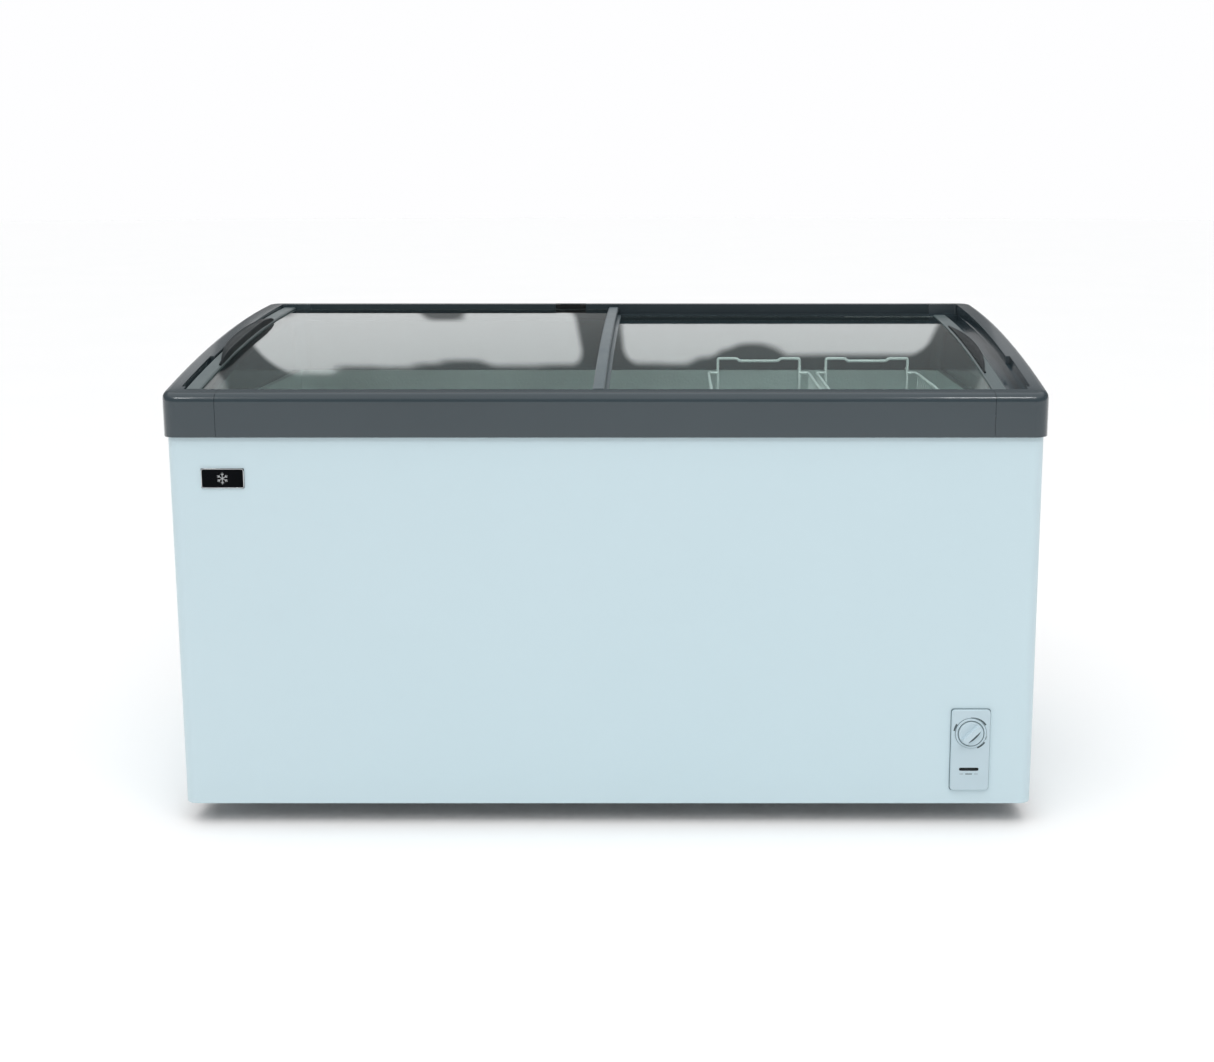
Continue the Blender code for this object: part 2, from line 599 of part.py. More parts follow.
def front_fittings():
    """Badge, thermostat panel, dial ring, knob, lamp and the thermostat behind."""
    face = -WRAP_Y - GAP
    badge = (-0.6489, 0.622)
    outlines = ((face, 0.0), (face - 0.0012, 0.0), (face - 0.0018, 0.0008))
    loft("badge_plate",
         [[(badge[0] + x, y, badge[1] + z) for x, z in rounded(0.0367 - inset, 0.0172 - inset, 0.002)]
          for y, inset in outlines], BLACK, roughness=0.3)

    height = (PANEL_Z[0] + PANEL_Z[1]) / 2
    half = (PANEL_Z[1] - PANEL_Z[0]) / 2
    panel_front = -0.3495
    panel = loft("control_panel",
                 [[(PANEL_X + x, y, height + z) for x, z in rounded(PANEL_HALF - inset, half - inset, 0.006)]
                  for y, inset in ((face, 0.0), (panel_front + 0.0013, 0.0), (panel_front, 0.0013))],
                 WHITE, roughness=0.35)
    lamp = rounded(0.0168, 0.0025, 0.0024, steps=3)
    cut(panel,
        turned("panel_shaft_tool", (PANEL_X, panel_front, KNOB_Z), (0, 1, 0), ((-0.01, 0.0033), (0.01, 0.0033)),
               BLACK),
        loft("lamp_pocket_tool", [[(LAMP_X + x * 1.02, y, LAMP_Z + z * 1.12) for x, z in lamp]
                                  for y in (panel_front - 0.005, panel_front + 0.0015)], BLACK))
    loft("power_lamp", [[(LAMP_X + x, y, LAMP_Z + z) for x, z in lamp]
                        for y in (panel_front - 0.0003, panel_front + 0.0012)], BLACK, roughness=0.15)
    ring("dial_ring", (PANEL_X, panel_front, KNOB_Z), (0, -1, 0),
         ((0.0225, GAP), (0.0270, GAP), (0.0265, 0.0020), (0.0230, 0.0020)), WHITE, sides=40)

    knob = turned("thermostat_knob", (PANEL_X, panel_front, KNOB_Z), (0, -1, 0),
                  ((-0.0150, 0.0030), (GAP, 0.0030), (2 * GAP, 0.0216), (0.0030, 0.0216), (0.0040, 0.0205)),
                  WHITE, sides=40, roughness=0.35)
    turn = math.radians(45)
    along = (math.cos(turn), math.sin(turn))
    bar = rounded(0.0200, 0.0052, 0.0040)

    def grip(scale, y):
        return [(PANEL_X + scale * (u * along[0] - v * along[1]), y, KNOB_Z + scale * (u * along[1] + v * along[0]))
                for u, v in bar]
    join(knob, loft("grip_tool", [grip(1.0, panel_front - 0.0030), grip(1.0, FRONT_MOST + 0.002),
                                  grip(0.92, FRONT_MOST)], WHITE))
    body = box("thermostat_body", (PANEL_X - 0.022, PANEL_X + 0.022), (-0.3425, -0.3050),
               (KNOB_Z - 0.018, KNOB_Z + 0.018), STEEL, metallic=0.6)
    cut(body, turned("body_shaft_tool", (PANEL_X, -0.3400, KNOB_Z), (0, 1, 0), ((-0.01, 0.0033), (0.01, 0.0033)),
                     BLACK))


# ---------------------------------------------------------------- baskets and casters

def basket(name, x):
    """An open basket hung on the liner's rim by a raised wire at each end."""
    half_x, half_y = BASKET_HALF
    shell = box(name, (x - half_x, x + half_x), (-half_y, half_y), BASKET_Z, (0.85, 0.88, 0.88), roughness=0.4)
    inner_x = half_x - BASKET_WALL
    inner_y = half_y - BASKET_WALL
    cut(shell, box(name + "_space_tool", (x - inner_x, x + inner_x), (-inner_y, inner_y),
                   (BASKET_Z[0] + BASKET_WALL, 0.80), BLACK))
    wire = 0.005
    dip = 0.005
    low = 0.690
    outer = [(-0.088, low), (-0.088, HANGER_TOP), (-0.046, HANGER_TOP), (-0.040, HANGER_TOP - dip),
             (0.040, HANGER_TOP - dip), (0.046, HANGER_TOP), (0.088, HANGER_TOP), (0.088, low)]
    inner = [(px * (0.088 - wire) / 0.088 if abs(px) > 0.08 else px, max(low, pz - wire)) for px, pz in outer]
    inner[0] = (wire - 0.088, low)
    inner[-1] = (0.088 - wire, low)
    outline = outer + inner[::-1]
    for side in (-1, 1):
        y = (side * (half_y - 0.001), side * (half_y + 0.004))
        join(shell, loft(name + "_hanger_tool", [[(x + px, py, pz) for px, pz in outline] for py in y], BLACK))
        hook_y = sorted((side * (half_y + 0.002), side * (half_y + 0.0180)))
        for hook in (-1, 1):
            hook_x = sorted((x + hook * 0.0835, x + hook * 0.0880))
            join(shell, box(name + "_hook_tool", hook_x, hook_y, (RIM_Z[1] + 0.0005, RIM_Z[1] + 0.0048), BLACK))


def caster(place, x, y):
    """A fork with its king pin and axle, and the wheel that rolls on it."""
    wheel_y = y + TRAIL
    fork = turned(f"caster_fork_{place}", (x, y, 0.0), (0, 0, 1),
                  ((0.0440, 0.0180), (0.0500, 0.0180), (0.0501, 0.0040), (0.0535, 0.0040)), STEEL, sides=20,
                  metallic=0.9)
    for side in (-1, 1):
        leg_x = sorted((x + side * 0.0085, x + side * 0.0105))
        profile = [(y - 0.012, 0.0450), (wheel_y - 0.006, 0.0110), (wheel_y + 0.006, 0.0110), (y + 0.014, 0.0450)]
        join(fork, loft("leg_tool", [[(px, py, pz) for py, pz in profile] for px in leg_x], STEEL))
    join(fork, turned("axle_tool", (x, wheel_y, WHEEL_R), (1, 0, 0), ((-0.0120, AXLE_R), (0.0120, AXLE_R)), STEEL,
                      sides=12))
    ring(f"caster_wheel_{place}", (x, wheel_y, WHEEL_R), (1, 0, 0),
         ((AXLE_R + GAP, -0.0075), (0.0145, -0.0075), (WHEEL_R, -0.0055), (WHEEL_R, 0.0055), (0.0145, 0.0075),
          (AXLE_R + GAP, 0.0075)), BLACK, sides=32, roughness=0.6)


def main():
    """Build every sub-part."""
    clear_scene()
    top_frame()
    cabinet()
    inside()
    cooling()
    doors()
    front_fittings()
    for number, x in enumerate(BASKET_X, 1):
        basket(f"basket_{number}", x)
    for place, sx, sy in (("front_left", -1, -1), ("front_right", 1, -1), ("rear_left", -1, 1),
                          ("rear_right", 1, 1)):
        caster(place, sx * CASTER_X, sy * CASTER_Y)


main()
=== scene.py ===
"""Looks for a display chest freezer: curved sliding glass doors on a moulded frame, over a white cabinet."""

import json
import logging
import math
from dataclasses import dataclass, field
from enum import Enum
from typing import Callable, Sequence

import bmesh
import bpy
from mathutils import Matrix, Vector

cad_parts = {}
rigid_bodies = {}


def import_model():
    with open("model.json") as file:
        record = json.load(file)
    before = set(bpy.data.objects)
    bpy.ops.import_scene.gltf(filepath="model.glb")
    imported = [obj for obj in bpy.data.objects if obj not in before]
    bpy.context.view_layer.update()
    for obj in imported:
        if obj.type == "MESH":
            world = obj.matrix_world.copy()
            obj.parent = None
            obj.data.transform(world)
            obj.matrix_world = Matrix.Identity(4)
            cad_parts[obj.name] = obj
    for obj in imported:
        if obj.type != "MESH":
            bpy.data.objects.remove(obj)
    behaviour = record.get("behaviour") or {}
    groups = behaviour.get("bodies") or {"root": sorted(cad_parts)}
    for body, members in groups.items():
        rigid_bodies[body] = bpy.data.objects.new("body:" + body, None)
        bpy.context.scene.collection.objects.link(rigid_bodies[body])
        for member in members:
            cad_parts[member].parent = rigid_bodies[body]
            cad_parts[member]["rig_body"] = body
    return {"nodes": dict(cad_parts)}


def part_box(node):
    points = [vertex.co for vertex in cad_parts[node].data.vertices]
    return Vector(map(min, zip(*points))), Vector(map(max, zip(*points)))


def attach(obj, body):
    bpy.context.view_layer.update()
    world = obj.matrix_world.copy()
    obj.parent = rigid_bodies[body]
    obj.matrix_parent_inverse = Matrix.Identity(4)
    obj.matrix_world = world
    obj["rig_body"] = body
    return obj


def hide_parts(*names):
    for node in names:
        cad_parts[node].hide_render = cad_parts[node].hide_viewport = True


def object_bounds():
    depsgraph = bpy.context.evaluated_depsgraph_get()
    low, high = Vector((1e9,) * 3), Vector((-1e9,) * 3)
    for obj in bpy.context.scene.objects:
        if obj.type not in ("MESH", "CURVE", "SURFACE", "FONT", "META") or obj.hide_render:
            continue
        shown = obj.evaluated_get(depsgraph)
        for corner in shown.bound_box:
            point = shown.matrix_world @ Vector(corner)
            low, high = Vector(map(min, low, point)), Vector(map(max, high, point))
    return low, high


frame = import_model()
CAD_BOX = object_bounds()

LOG = logging.getLogger("freezer")
MM = 0.001
SMOOTH_ANGLE = math.radians(32)
BEVEL_ANGLE = math.radians(40)
FLAT_ANGLE = math.radians(0.2)
MERGE = 0.05 * MM
FLUSH = 0.2 * MM

# inputs of a Map Range node, in the order in which this file writes a ramp
RANGE = ("From Min", "From Max", "To Min", "To Max")
SMOOTH = {"interpolation_type": "SMOOTHSTEP"}
# a Mix node has sockets for each kind of value under the same names, so these are found by number
COLOUR_A, COLOUR_B, COLOUR_OUT = 6, 7, 2
FLOAT_A, FLOAT_B = 2, 3

MADE: dict[str, bpy.types.Material] = {}

Point = tuple[float, float, float]
Ramp = tuple[float, float, float, float]


# ------------------------------------------------------------------ colour and nodes

def linear(hex_colour: str) -> tuple[float, float, float, float]:
    """Turn an sRGB hex colour into the linear colour that shaders use.

    Args:
        hex_colour: Six hex digits, with or without a leading hash.

    Returns:
        Red, green, blue and an alpha of 1.
    """
    digits = hex_colour.lstrip("#")
    parts = [int(digits[i:i + 2], 16) / 255 for i in (0, 2, 4)]
    shades = [p / 12.92 if p <= 0.04045 else ((p + 0.055) / 1.055) ** 2.4 for p in parts]
    return (shades[0], shades[1], shades[2], 1.0)


def add_node(tree: bpy.types.NodeTree, kind: str, settings: dict | None = None,
             inputs: dict | None = None) -> bpy.types.Node:
    """Add one node, set it up and link it.

    Args:
        tree: The node tree that gets the node.
        kind: The node's type name.
        settings: Attributes to set on the node.
        inputs: Input sockets by name or number; an output socket is linked, a value is stored.

    Returns:
        The new node.
    """
    made = tree.nodes.new(kind)
    for name, value in (settings or {}).items():
        setattr(made, name, value)
    for key, value in (inputs or {}).items():
        socket = made.inputs[key]
        if isinstance(value, bpy.types.NodeSocket):
            tree.links.new(value, socket)
        else:
            socket.default_value = value
    return made


def blank_material(name: str) -> tuple[bpy.types.Material, bpy.types.NodeTree, bpy.types.Node]:
    """Make a material that holds one Principled shader.

    Args:
        name: The material's name.

    Returns:
        The material, its node tree and its Principled node.
    """
    made = bpy.data.materials.new(name)
    made.use_nodes = True
    return made, made.node_tree, made.node_tree.nodes["Principled BSDF"]


def scale_of(size_mm: float) -> float:
    """The texture scale at which one lump or cell is this many millimetres wide."""
    return 1000.0 / size_mm


# ------------------------------------------------------------------ finishes

@dataclass(frozen=True)
class Finish:
    """A moulded or painted surface with fine texture, slight colour drift and uneven gloss.

    Attributes:
        name: Material name, after what the real one is.
        slot: The record's material slot; not used.
        colour: Main sRGB hex colour.
        drift: Second hex colour that the main one drifts to.
        roughness: Lowest and highest roughness.
        grain_mm: Size of the surface texture.
        grain_depth: Height of that texture in millimetres.
        metallic: 1 for bare metal.
        coat: Clear coat weight.
        drift_mm: Size of the patches of colour drift.
        specular: How strongly the bare surface reflects; 0.5 is what plastic and paint do.
    """

    name: str
    slot: str
    colour: str
    drift: str
    roughness: tuple[float, float]
    grain_mm: float = 2.0
    grain_depth: float = 0.02
    metallic: float = 0.0
    coat: float = 0.0
    drift_mm: float = 60.0
    specular: float = 0.5

    def height(self, tree: bpy.types.NodeTree, point: bpy.types.NodeSocket) -> bpy.types.NodeSocket:
        """Add the surface texture.

        Args:
            tree: The material's tree.
            point: Coordinates in the piece's own frame.

        Returns:
            Socket with the height, from 0 to 1.
        """
        return add_node(tree, "ShaderNodeTexNoise", None, {
            "Vector": point, "Scale": scale_of(self.grain_mm), "Detail": 2.0}).outputs["Fac"]

    def tint(self, tree: bpy.types.NodeTree, point: bpy.types.NodeSocket) -> bpy.types.NodeSocket:
        """Add the drift between the two colours.

        Args:
            tree: The material's tree.
            point: Coordinates in the piece's own frame.

        Returns:
            Socket with the surface colour.
        """
        patches = add_node(tree, "ShaderNodeTexNoise", None, {
            "Vector": point, "Scale": scale_of(self.drift_mm), "Detail": 4.0})
        share = add_node(tree, "ShaderNodeMapRange", None, {
            "Value": patches.outputs["Fac"], **dict(zip(RANGE, (0.35, 0.65, 0.0, 1.0)))})
        return add_node(tree, "ShaderNodeMix", {"data_type": "RGBA"}, {
            0: share.outputs["Result"], COLOUR_A: linear(self.colour), COLOUR_B: linear(self.drift),
        }).outputs[COLOUR_OUT]

    def build(self) -> bpy.types.Material:
        """Make the material.

        Returns:
            The finished material.
        """
        made, tree, shader = blank_material(self.name)
        point = add_node(tree, "ShaderNodeTexCoord").outputs["Object"]
        tree.links.new(self.tint(tree, point), shader.inputs["Base Color"])
        worn = add_node(tree, "ShaderNodeTexNoise", None, {
            "Vector": point, "Scale": scale_of(self.drift_mm * 0.5), "Detail": 5.0, "Roughness": 0.6})
        gloss = add_node(tree, "ShaderNodeMapRange", None, {
            "Value": worn.outputs["Fac"], **dict(zip(RANGE, (0.3, 0.7, *self.roughness)))})
        tree.links.new(gloss.outputs["Result"], shader.inputs["Roughness"])
        bump = add_node(tree, "ShaderNodeBump", None, {
            "Height": self.height(tree, point), "Strength": 1.0, "Distance": self.grain_depth * MM})
        tree.links.new(bump.outputs["Normal"], shader.inputs["Normal"])
        shader.inputs["Metallic"].default_value = self.metallic
        shader.inputs["Specular IOR Level"].default_value = self.specular
        shader.inputs["Coat Weight"].default_value = self.coat
        shader.inputs["Coat Roughness"].default_value = 0.06
        return made


@dataclass(frozen=True)
class StuccoSheet(Finish):
    """Rolled aluminium with the pebbled stucco pattern that hides dents in a liner."""

    def height(self, tree: bpy.types.NodeTree, point: bpy.types.NodeSocket) -> bpy.types.NodeSocket:
        """Add raised pebbles with narrow valleys between them.

        Args:
            tree: The material's tree.
            point: Coordinates in the piece's own frame.

        Returns:
            Socket with the height, from 0 to 1.
        """
        cells = add_node(tree, "ShaderNodeTexVoronoi", {"feature": "SMOOTH_F1"}, {
            "Vector": point, "Scale": scale_of(self.grain_mm), "Smoothness": 0.6})
        return add_node(tree, "ShaderNodeMapRange", None, {
            "Value": cells.outputs["Distance"], **dict(zip(RANGE, (0.1, 0.75, 1.0, 0.0)))}).outputs["Result"]


@dataclass(frozen=True)
class SpangledSheet(Finish):
    """Hot-dip galvanised steel, whose zinc crystals catch the light one by one."""

    def tint(self, tree: bpy.types.NodeTree, point: bpy.types.NodeSocket) -> bpy.types.NodeSocket:
        """Add crystals, each with its own shade of grey.

        Args:
            tree: The material's tree.
            point: Coordinates in the piece's own frame.

        Returns:
            Socket with the surface colour.
        """
        cells = add_node(tree, "ShaderNodeTexVoronoi", {"feature": "F1"}, {
            "Vector": point, "Scale": scale_of(self.drift_mm)})
        shade = add_node(tree, "ShaderNodeSeparateColor", None, {"Color": cells.outputs["Color"]})
        return add_node(tree, "ShaderNodeMix", {"data_type": "RGBA"}, {
            0: shade.outputs["Red"], COLOUR_A: linear(self.colour), COLOUR_B: linear(self.drift),
        }).outputs[COLOUR_OUT]


@dataclass(frozen=True)
class DoorGlass:
    """Tempered soda-lime glass, 4 mm, with the faint green of its iron and a trace of wiped haze.

    Attributes:
        name: Material name, after what the real one is.
        slot: The record's material slot; not used.
        colour: sRGB hex colour of the light that passes.
        smear_mm: Size of the wiped patches.
        haze: Roughness of the clearest and of the most smeared patches.
    """

    name: str = "tempered_glass"
    slot: str = "door_glass"
    colour: str = "#DDEBE8"
    smear_mm: float = 140.0
    haze: tuple[float, float] = (0.0, 0.006)

    def build(self) -> bpy.types.Material:
        """Make the material.

        Returns:
            The finished material.
        """
        made, tree, shader = blank_material(self.name)
        smears = add_node(tree, "ShaderNodeTexNoise", None, {
            "Vector": add_node(tree, "ShaderNodeTexCoord").outputs["Object"],
            "Scale": scale_of(self.smear_mm), "Detail": 5.0, "Roughness": 0.6})
        haze = add_node(tree, "ShaderNodeMapRange", None, {
            "Value": smears.outputs["Fac"], **dict(zip(RANGE, (0.45, 0.8, *self.haze)))})
        tree.links.new(haze.outputs["Result"], shader.inputs["Roughness"])
        shader.inputs["Base Color"].default_value = linear(self.colour)
        shader.inputs["Transmission Weight"].default_value = 1.0
        shader.inputs["IOR"].default_value = 1.5
        return made


class Stuff(Enum):
    """Every finish on the freezer."""

    # white epoxy-polyester powder coat: bright, with a soft orange peel that breaks reflections
    ENAMEL = Finish("white_enamel_sheet", "cabinet_paint", "#CDE1E8", "#CADFE6", (0.30, 0.34),
                    5.0, 0.010, coat=0.1, drift_mm=1400.0)
    # grey ABS, high-gloss moulded: dark blue-grey, sharp highlights along the rounded edge
    FRAME_ABS = Finish("gloss_grey_abs", "frame_abs", "#374349", "#344046", (0.16, 0.20),
                       1.4, 0.006, coat=0.35, drift_mm=420.0)
    # painted shade: the rear rail is the same grey ABS as the frame, drawn darker and with weaker reflection
    REAR_ABS = Finish("grey_abs_painted_shade", "frame_abs", "#303B40", "#2D383D", (0.30, 0.36),
                      1.4, 0.008, drift_mm=420.0, specular=0.28)
    # lighter grey ABS with a satin tool finish: a broad, soft sheen that parts it from the frame
    MOULDING_ABS = Finish("satin_grey_abs", "moulding_abs", "#5F6B6D", "#5A6668", (0.30, 0.42),
                          0.9, 0.02, drift_mm=160.0)
    # extruded ABS: a pale, even grey line across the glass
    PROFILE_ABS = Finish("pale_grey_extrusion", "profile_abs", "#5F6B70", "#5B676C", (0.28, 0.40),
                         0.9, 0.015, drift_mm=160.0)
    # moulded ABS with a matt grain: near black, with only a faint light on the grip's rim
    HANDLE_ABS = Finish("dark_grip_abs", "handle_abs", "#182124", "#151D20", (0.34, 0.42),
                        0.8, 0.012, drift_mm=90.0, specular=0.14)
    # stucco-embossed mill aluminium: bright pebbles about 5 mm apart, drawn at their real size
    STUCCO = StuccoSheet("stucco_embossed_aluminium", "stucco_aluminium", "#EDF5F4", "#E3ECEB",
                         (0.34, 0.46), 5.0, 0.35, metallic=1.0, drift_mm=300.0)
    # hot-dip galvanised sheet: dull grey with zinc crystals about 14 mm across, at their real size
    ZINC_SHEET = SpangledSheet("galvanised_steel", "galvanised_sheet", "#AEB2B4", "#B9BDBF",
                               (0.36, 0.44), 3.0, 0.01, metallic=1.0, drift_mm=14.0)
    # bright electroplated zinc: a slightly warm silver, smooth and soft in its reflections
    ZINC_PART = Finish("bright_zinc_plate", "zinc_steel", "#B9BAB4", "#ACAEAA", (0.25, 0.38),
                       1.0, 0.01, metallic=1.0, drift_mm=20.0)
    # chromed trim: a thin bright line with crisp reflections
    CHROME_TRIM = Finish("polished_trim", "zinc_steel", "#D9DCDD", "#CED2D4", (0.08, 0.14),
                         2.0, 0.002, metallic=1.0, drift_mm=30.0)
    # rigid polyurethane foam: dry, yellowish and open, with cells drawn coarser than the real ones
    FOAM = Finish("polyurethane_foam", "foam", "#E6D6A2", "#D9C68C", (0.85, 0.95),
                  1.6, 0.25, drift_mm=40.0)
    # glass-filled nylon: black with a faint moulding grain
    NYLON = Finish("glass_filled_nylon", "black_nylon", "#101213", "#16191A", (0.38, 0.5),
                   0.6, 0.02, drift_mm=30.0, specular=0.3)
    # moulded nitrile rubber: a matt, slightly grey black
    RUBBER = Finish("nitrile_rubber", "black_rubber", "#1B1C1D", "#232425", (0.6, 0.75),
                    0.5, 0.03, drift_mm=25.0)
    # woven polypropylene pile: a soft dark edge without highlights
    PILE = Finish("polypropylene_pile", "brush_pile", "#202224", "#2B2E30", (0.7, 0.9),
                  0.4, 0.05, drift_mm=8.0)
    # white ABS with a matt spark finish: the enamel's colour without its shine
    WHITE_ABS = Finish("spark_finish_white_abs", "white_abs", "#C5D7DF", "#C1D4DC", (0.34, 0.42),
                       0.7, 0.010, drift_mm=120.0, specular=0.3)
    # lacquered plate: a deep black that sets off the emblem
    BADGE = Finish("black_lacquer_plate", "badge_black", "#030509", "#020407", (0.22, 0.28),
                   1.0, 0.002, drift_mm=30.0, specular=0.06)
    # smoked acrylic: a small black window with a sharp glint
    LAMP = Finish("smoked_lamp_window", "lamp_black", "#0A1113", "#0C1315", (0.12, 0.18),
                  1.0, 0.001, drift_mm=10.0, specular=0.25)
    # polyethylene dip over steel wire: white, waxy, with a soft highlight
    WIRE = Finish("coated_basket_wire", "coated_wire", "#F1F6F5", "#E8EFEE", (0.28, 0.40),
                  1.2, 0.03, coat=0.1, drift_mm=25.0)
    # drawn copper tube: warm and bright, with browner patches where it was handled
    COPPER = Finish("drawn_copper", "copper_tube", "#C9876A", "#A86A50", (0.25, 0.45),
                    1.5, 0.01, metallic=1.0, drift_mm=18.0)
    # stoved black enamel on pressed steel: glossy, with slight waves in the coat
    BLACK_ENAMEL = Finish("black_enamel_shell", "black_enamel", "#141516", "#1B1D1E", (0.22, 0.34),
                          3.0, 0.02, coat=0.25, drift_mm=40.0)
    # pad-printed ink: flat grey marks; the same grey is the painted shadow beside the knob's grip
    PRINT = Finish("grey_print_and_painted_shade", "white_abs", "#4A595E", "#445358", (0.5, 0.6),
                   0.5, 0.002, drift_mm=20.0)
    # painted shade: a grey line round the panel and the dial ring, where shade falls in the gaps between the
    # parts
    GASKET = Finish("painted_shade_line", "white_abs", "#5F757C", "#596F76", (0.5, 0.6),
                    0.5, 0.01, drift_mm=20.0)
    # tempered glass: clear, with a faint green and reflections of the windows behind it
    GLASS = DoorGlass()

    def material(self) -> bpy.types.Material:
        """The finish's material, made on first use."""
        if self.name not in MADE:
            MADE[self.name] = self.value.build()
        return MADE[self.name]


class Side(Enum):
    """The left or right end of the freezer, seen from the front."""

    LEFT = "left"
    RIGHT = "right"

    @property
    def outward(self) -> int:
        """Direction along X from the freezer's middle to this end."""
        return -1 if self is Side.LEFT else 1


class Row(Enum):
    """The front or rear pair of casters."""

    FRONT = "front"
    REAR = "rear"


# ------------------------------------------------------------------ making pieces

def place(obj: bpy.types.Object, stuff: Stuff, body: str, *nodes: str) -> bpy.types.Object:
    """Give a finished piece its material, body and the CAD nodes that it stands for.

    Args:
        obj: The piece, with its place in its mesh.
        stuff: Its finish.
        body: The CAD body it moves with.
        *nodes: CAD nodes that it replaces.

    Returns:
        The same piece.
    """
    if stuff.material().name not in [m.name for m in obj.data.materials if m]:
        obj.data.materials.clear()
        obj.data.materials.append(stuff.material())
    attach(obj, body)
    if nodes:
        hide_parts(*nodes)
    LOG.info("%s: %d faces on %s", obj.name, len(obj.data.polygons), body)
    return obj


def body_of(node: str) -> str:
    """The body that a CAD node rides on."""
    return frame["nodes"][node]["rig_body"]


def smooth(mesh: bpy.types.Mesh, angle: float = SMOOTH_ANGLE) -> None:
    """Shade a mesh smooth, but keep its real edges sharp.

    Args:
        mesh: The mesh.
        angle: Edges sharper than this stay sharp.
    """
    mesh.shade_smooth()
    mesh.set_sharp_from_angle(angle=angle)


def mesh_object(name: str, bm: bmesh.types.BMesh, angle: float = SMOOTH_ANGLE) -> bpy.types.Object:
    """Turn a bmesh into a linked, smooth-shaded object.

    Args:
        name: The object's name.
        bm: The mesh, which is freed.
        angle: Edges sharper than this stay sharp.

    Returns:
        The new object.
    """
    bmesh.ops.remove_doubles(bm, verts=bm.verts, dist=MERGE / 10)
    bmesh.ops.recalc_face_normals(bm, faces=bm.faces)
    mesh = bpy.data.meshes.new(name)
    bm.to_mesh(mesh)
    bm.free()
    smooth(mesh, angle)
    made = bpy.data.objects.new(name, mesh)
    bpy.context.scene.collection.objects.link(made)
    return made


def settle(obj: bpy.types.Object) -> bpy.types.Object:
    """Replace a piece's modifiers with the plain mesh that they make.

    Args:
        obj: The piece.

    Returns:
        The same piece.
    """
    graph = bpy.context.evaluated_depsgraph_get()
    mesh = bpy.data.meshes.new_from_object(obj.evaluated_get(graph))
    obj.modifiers.clear()
    obj.data = mesh
    return obj


def bevelled(obj: bpy.types.Object, width: float, segments: int = 2) -> bpy.types.Object:
    """Round a piece's sharp edges with a small bevel and even out its shading.

    Args:
        obj: The piece.
        width: Bevel width in metres.
        segments: Steps across the bevel.

    Returns:
        The same piece, with a plain mesh.
    """
    step = obj.modifiers.new("edge", "BEVEL")
    step.width = width
    step.segments = segments
    step.limit_method = "ANGLE"
    step.angle_limit = BEVEL_ANGLE
    step.use_clamp_overlap = True
    even = obj.modifiers.new("shading", "WEIGHTED_NORMAL")
    even.keep_sharp = False
    settle(obj)
    obj.data.shade_smooth()
    return obj


def even_shading(mesh: bpy.types.Mesh, angle: float) -> None:
    """Keep large faces flat: at each corner, average the faces that nearly agree, by their areas.

    Args:
        mesh: The mesh, shaded smooth.
        angle: Faces that differ by more than this aren't blended.
    """
    faces = [(face.normal.copy(), face.area, tuple(face.vertices)) for face in mesh.polygons]
    around: list[list[int]] = [[] for _ in mesh.vertices]
    for index, (_, _, corners) in enumerate(faces):
        for corner in corners:
            around[corner].append(index)
    limit = math.cos(angle)
    normals = []
    for normal, _, corners in faces:
        for corner in corners:
            near = [faces[i] for i in around[corner] if faces[i][0].dot(normal) >= limit]
            normals.append(sum((n * area for n, area, _ in near), Vector()).normalized())
    mesh.normals_split_custom_set(normals)


def refined(node: str, stuff: Stuff, edge: float = 0.0, angle: float = SMOOTH_ANGLE) -> bpy.types.Object:
    """A smooth-shaded stand-in for a CAD node, with its corners joined and its edges eased.

    Args:
        node: The CAD node.
        stuff: The finish.
        edge: Width of an edge bevel, or 0 for none.
        angle: Edges sharper than this stay sharp.

    Returns:
        The new piece, which replaces the node.
    """
    bm = bmesh.new()
    bm.from_mesh(frame["nodes"][node].data)
    bmesh.ops.remove_doubles(bm, verts=bm.verts, dist=MERGE)
    bmesh.ops.dissolve_limit(bm, angle_limit=FLAT_ANGLE, verts=bm.verts, edges=bm.edges, delimit={'NORMAL'})
    mesh = bpy.data.meshes.new(node + "_shape")
    bm.to_mesh(mesh)
    bm.free()
    smooth(mesh, angle)
    made = bpy.data.objects.new(node + "_finished", mesh)
    bpy.context.scene.collection.objects.link(made)
    if edge:
        bevelled(made, edge)
    else:
        even_shading(mesh, angle)
    return place(made, stuff, body_of(node), node)


def skin(bm: bmesh.types.BMesh, rows: Sequence[Sequence[Point]], closed: bool = False) -> None:
    """Skin a row of sections that have the same number of points.

    Args:
        bm: The mesh to add to.
        rows: The sections, in order.
        closed: Join the last section to the first, or cap both ends.
    """
    verts = [[bm.verts.new(point) for point in row] for row in rows]
    count = len(rows[0])
    for i in range(len(rows) if closed else len(rows) - 1):
        here, there = verts[i], verts[(i + 1) % len(rows)]
        for k in range(count):
            n = (k + 1) % count
            bm.faces.new((here[k], here[n], there[n], there[k]))
    if not closed:
        bm.faces.new(verts[0])
        bm.faces.new(verts[-1])


def wire(bm: bmesh.types.BMesh, path: Sequence[Point], radius: float, sides: int = 10,
         closed: bool = False) -> None:
    """Add a round wire along a path.

    Args:
        bm: The mesh to add to.
        path: The wire's centre line.
        radius: Wire radius.
        sides: Sides of its section.
        closed: True for a loop.
    """
    points = [Vector(p) for p in path]
    last = len(points) - 1
    normal = (points[1] - points[0]).orthogonal().normalized()
    rows = []
    for i, point in enumerate(points):
        before = points[i - 1] if i or closed else point
        after = points[(i + 1) % len(points)] if i < last or closed else point
        along = (after - before).normalized()
        normal = (normal - along * normal.dot(along)).normalized()
        other = along.cross(normal)
        turns = [math.tau * k / sides for k in range(sides)]
        rows.append([tuple(point + normal * (radius * math.cos(a)) + other * (radius * math.sin(a)))
                     for a in turns])
    skin(bm, rows, closed)


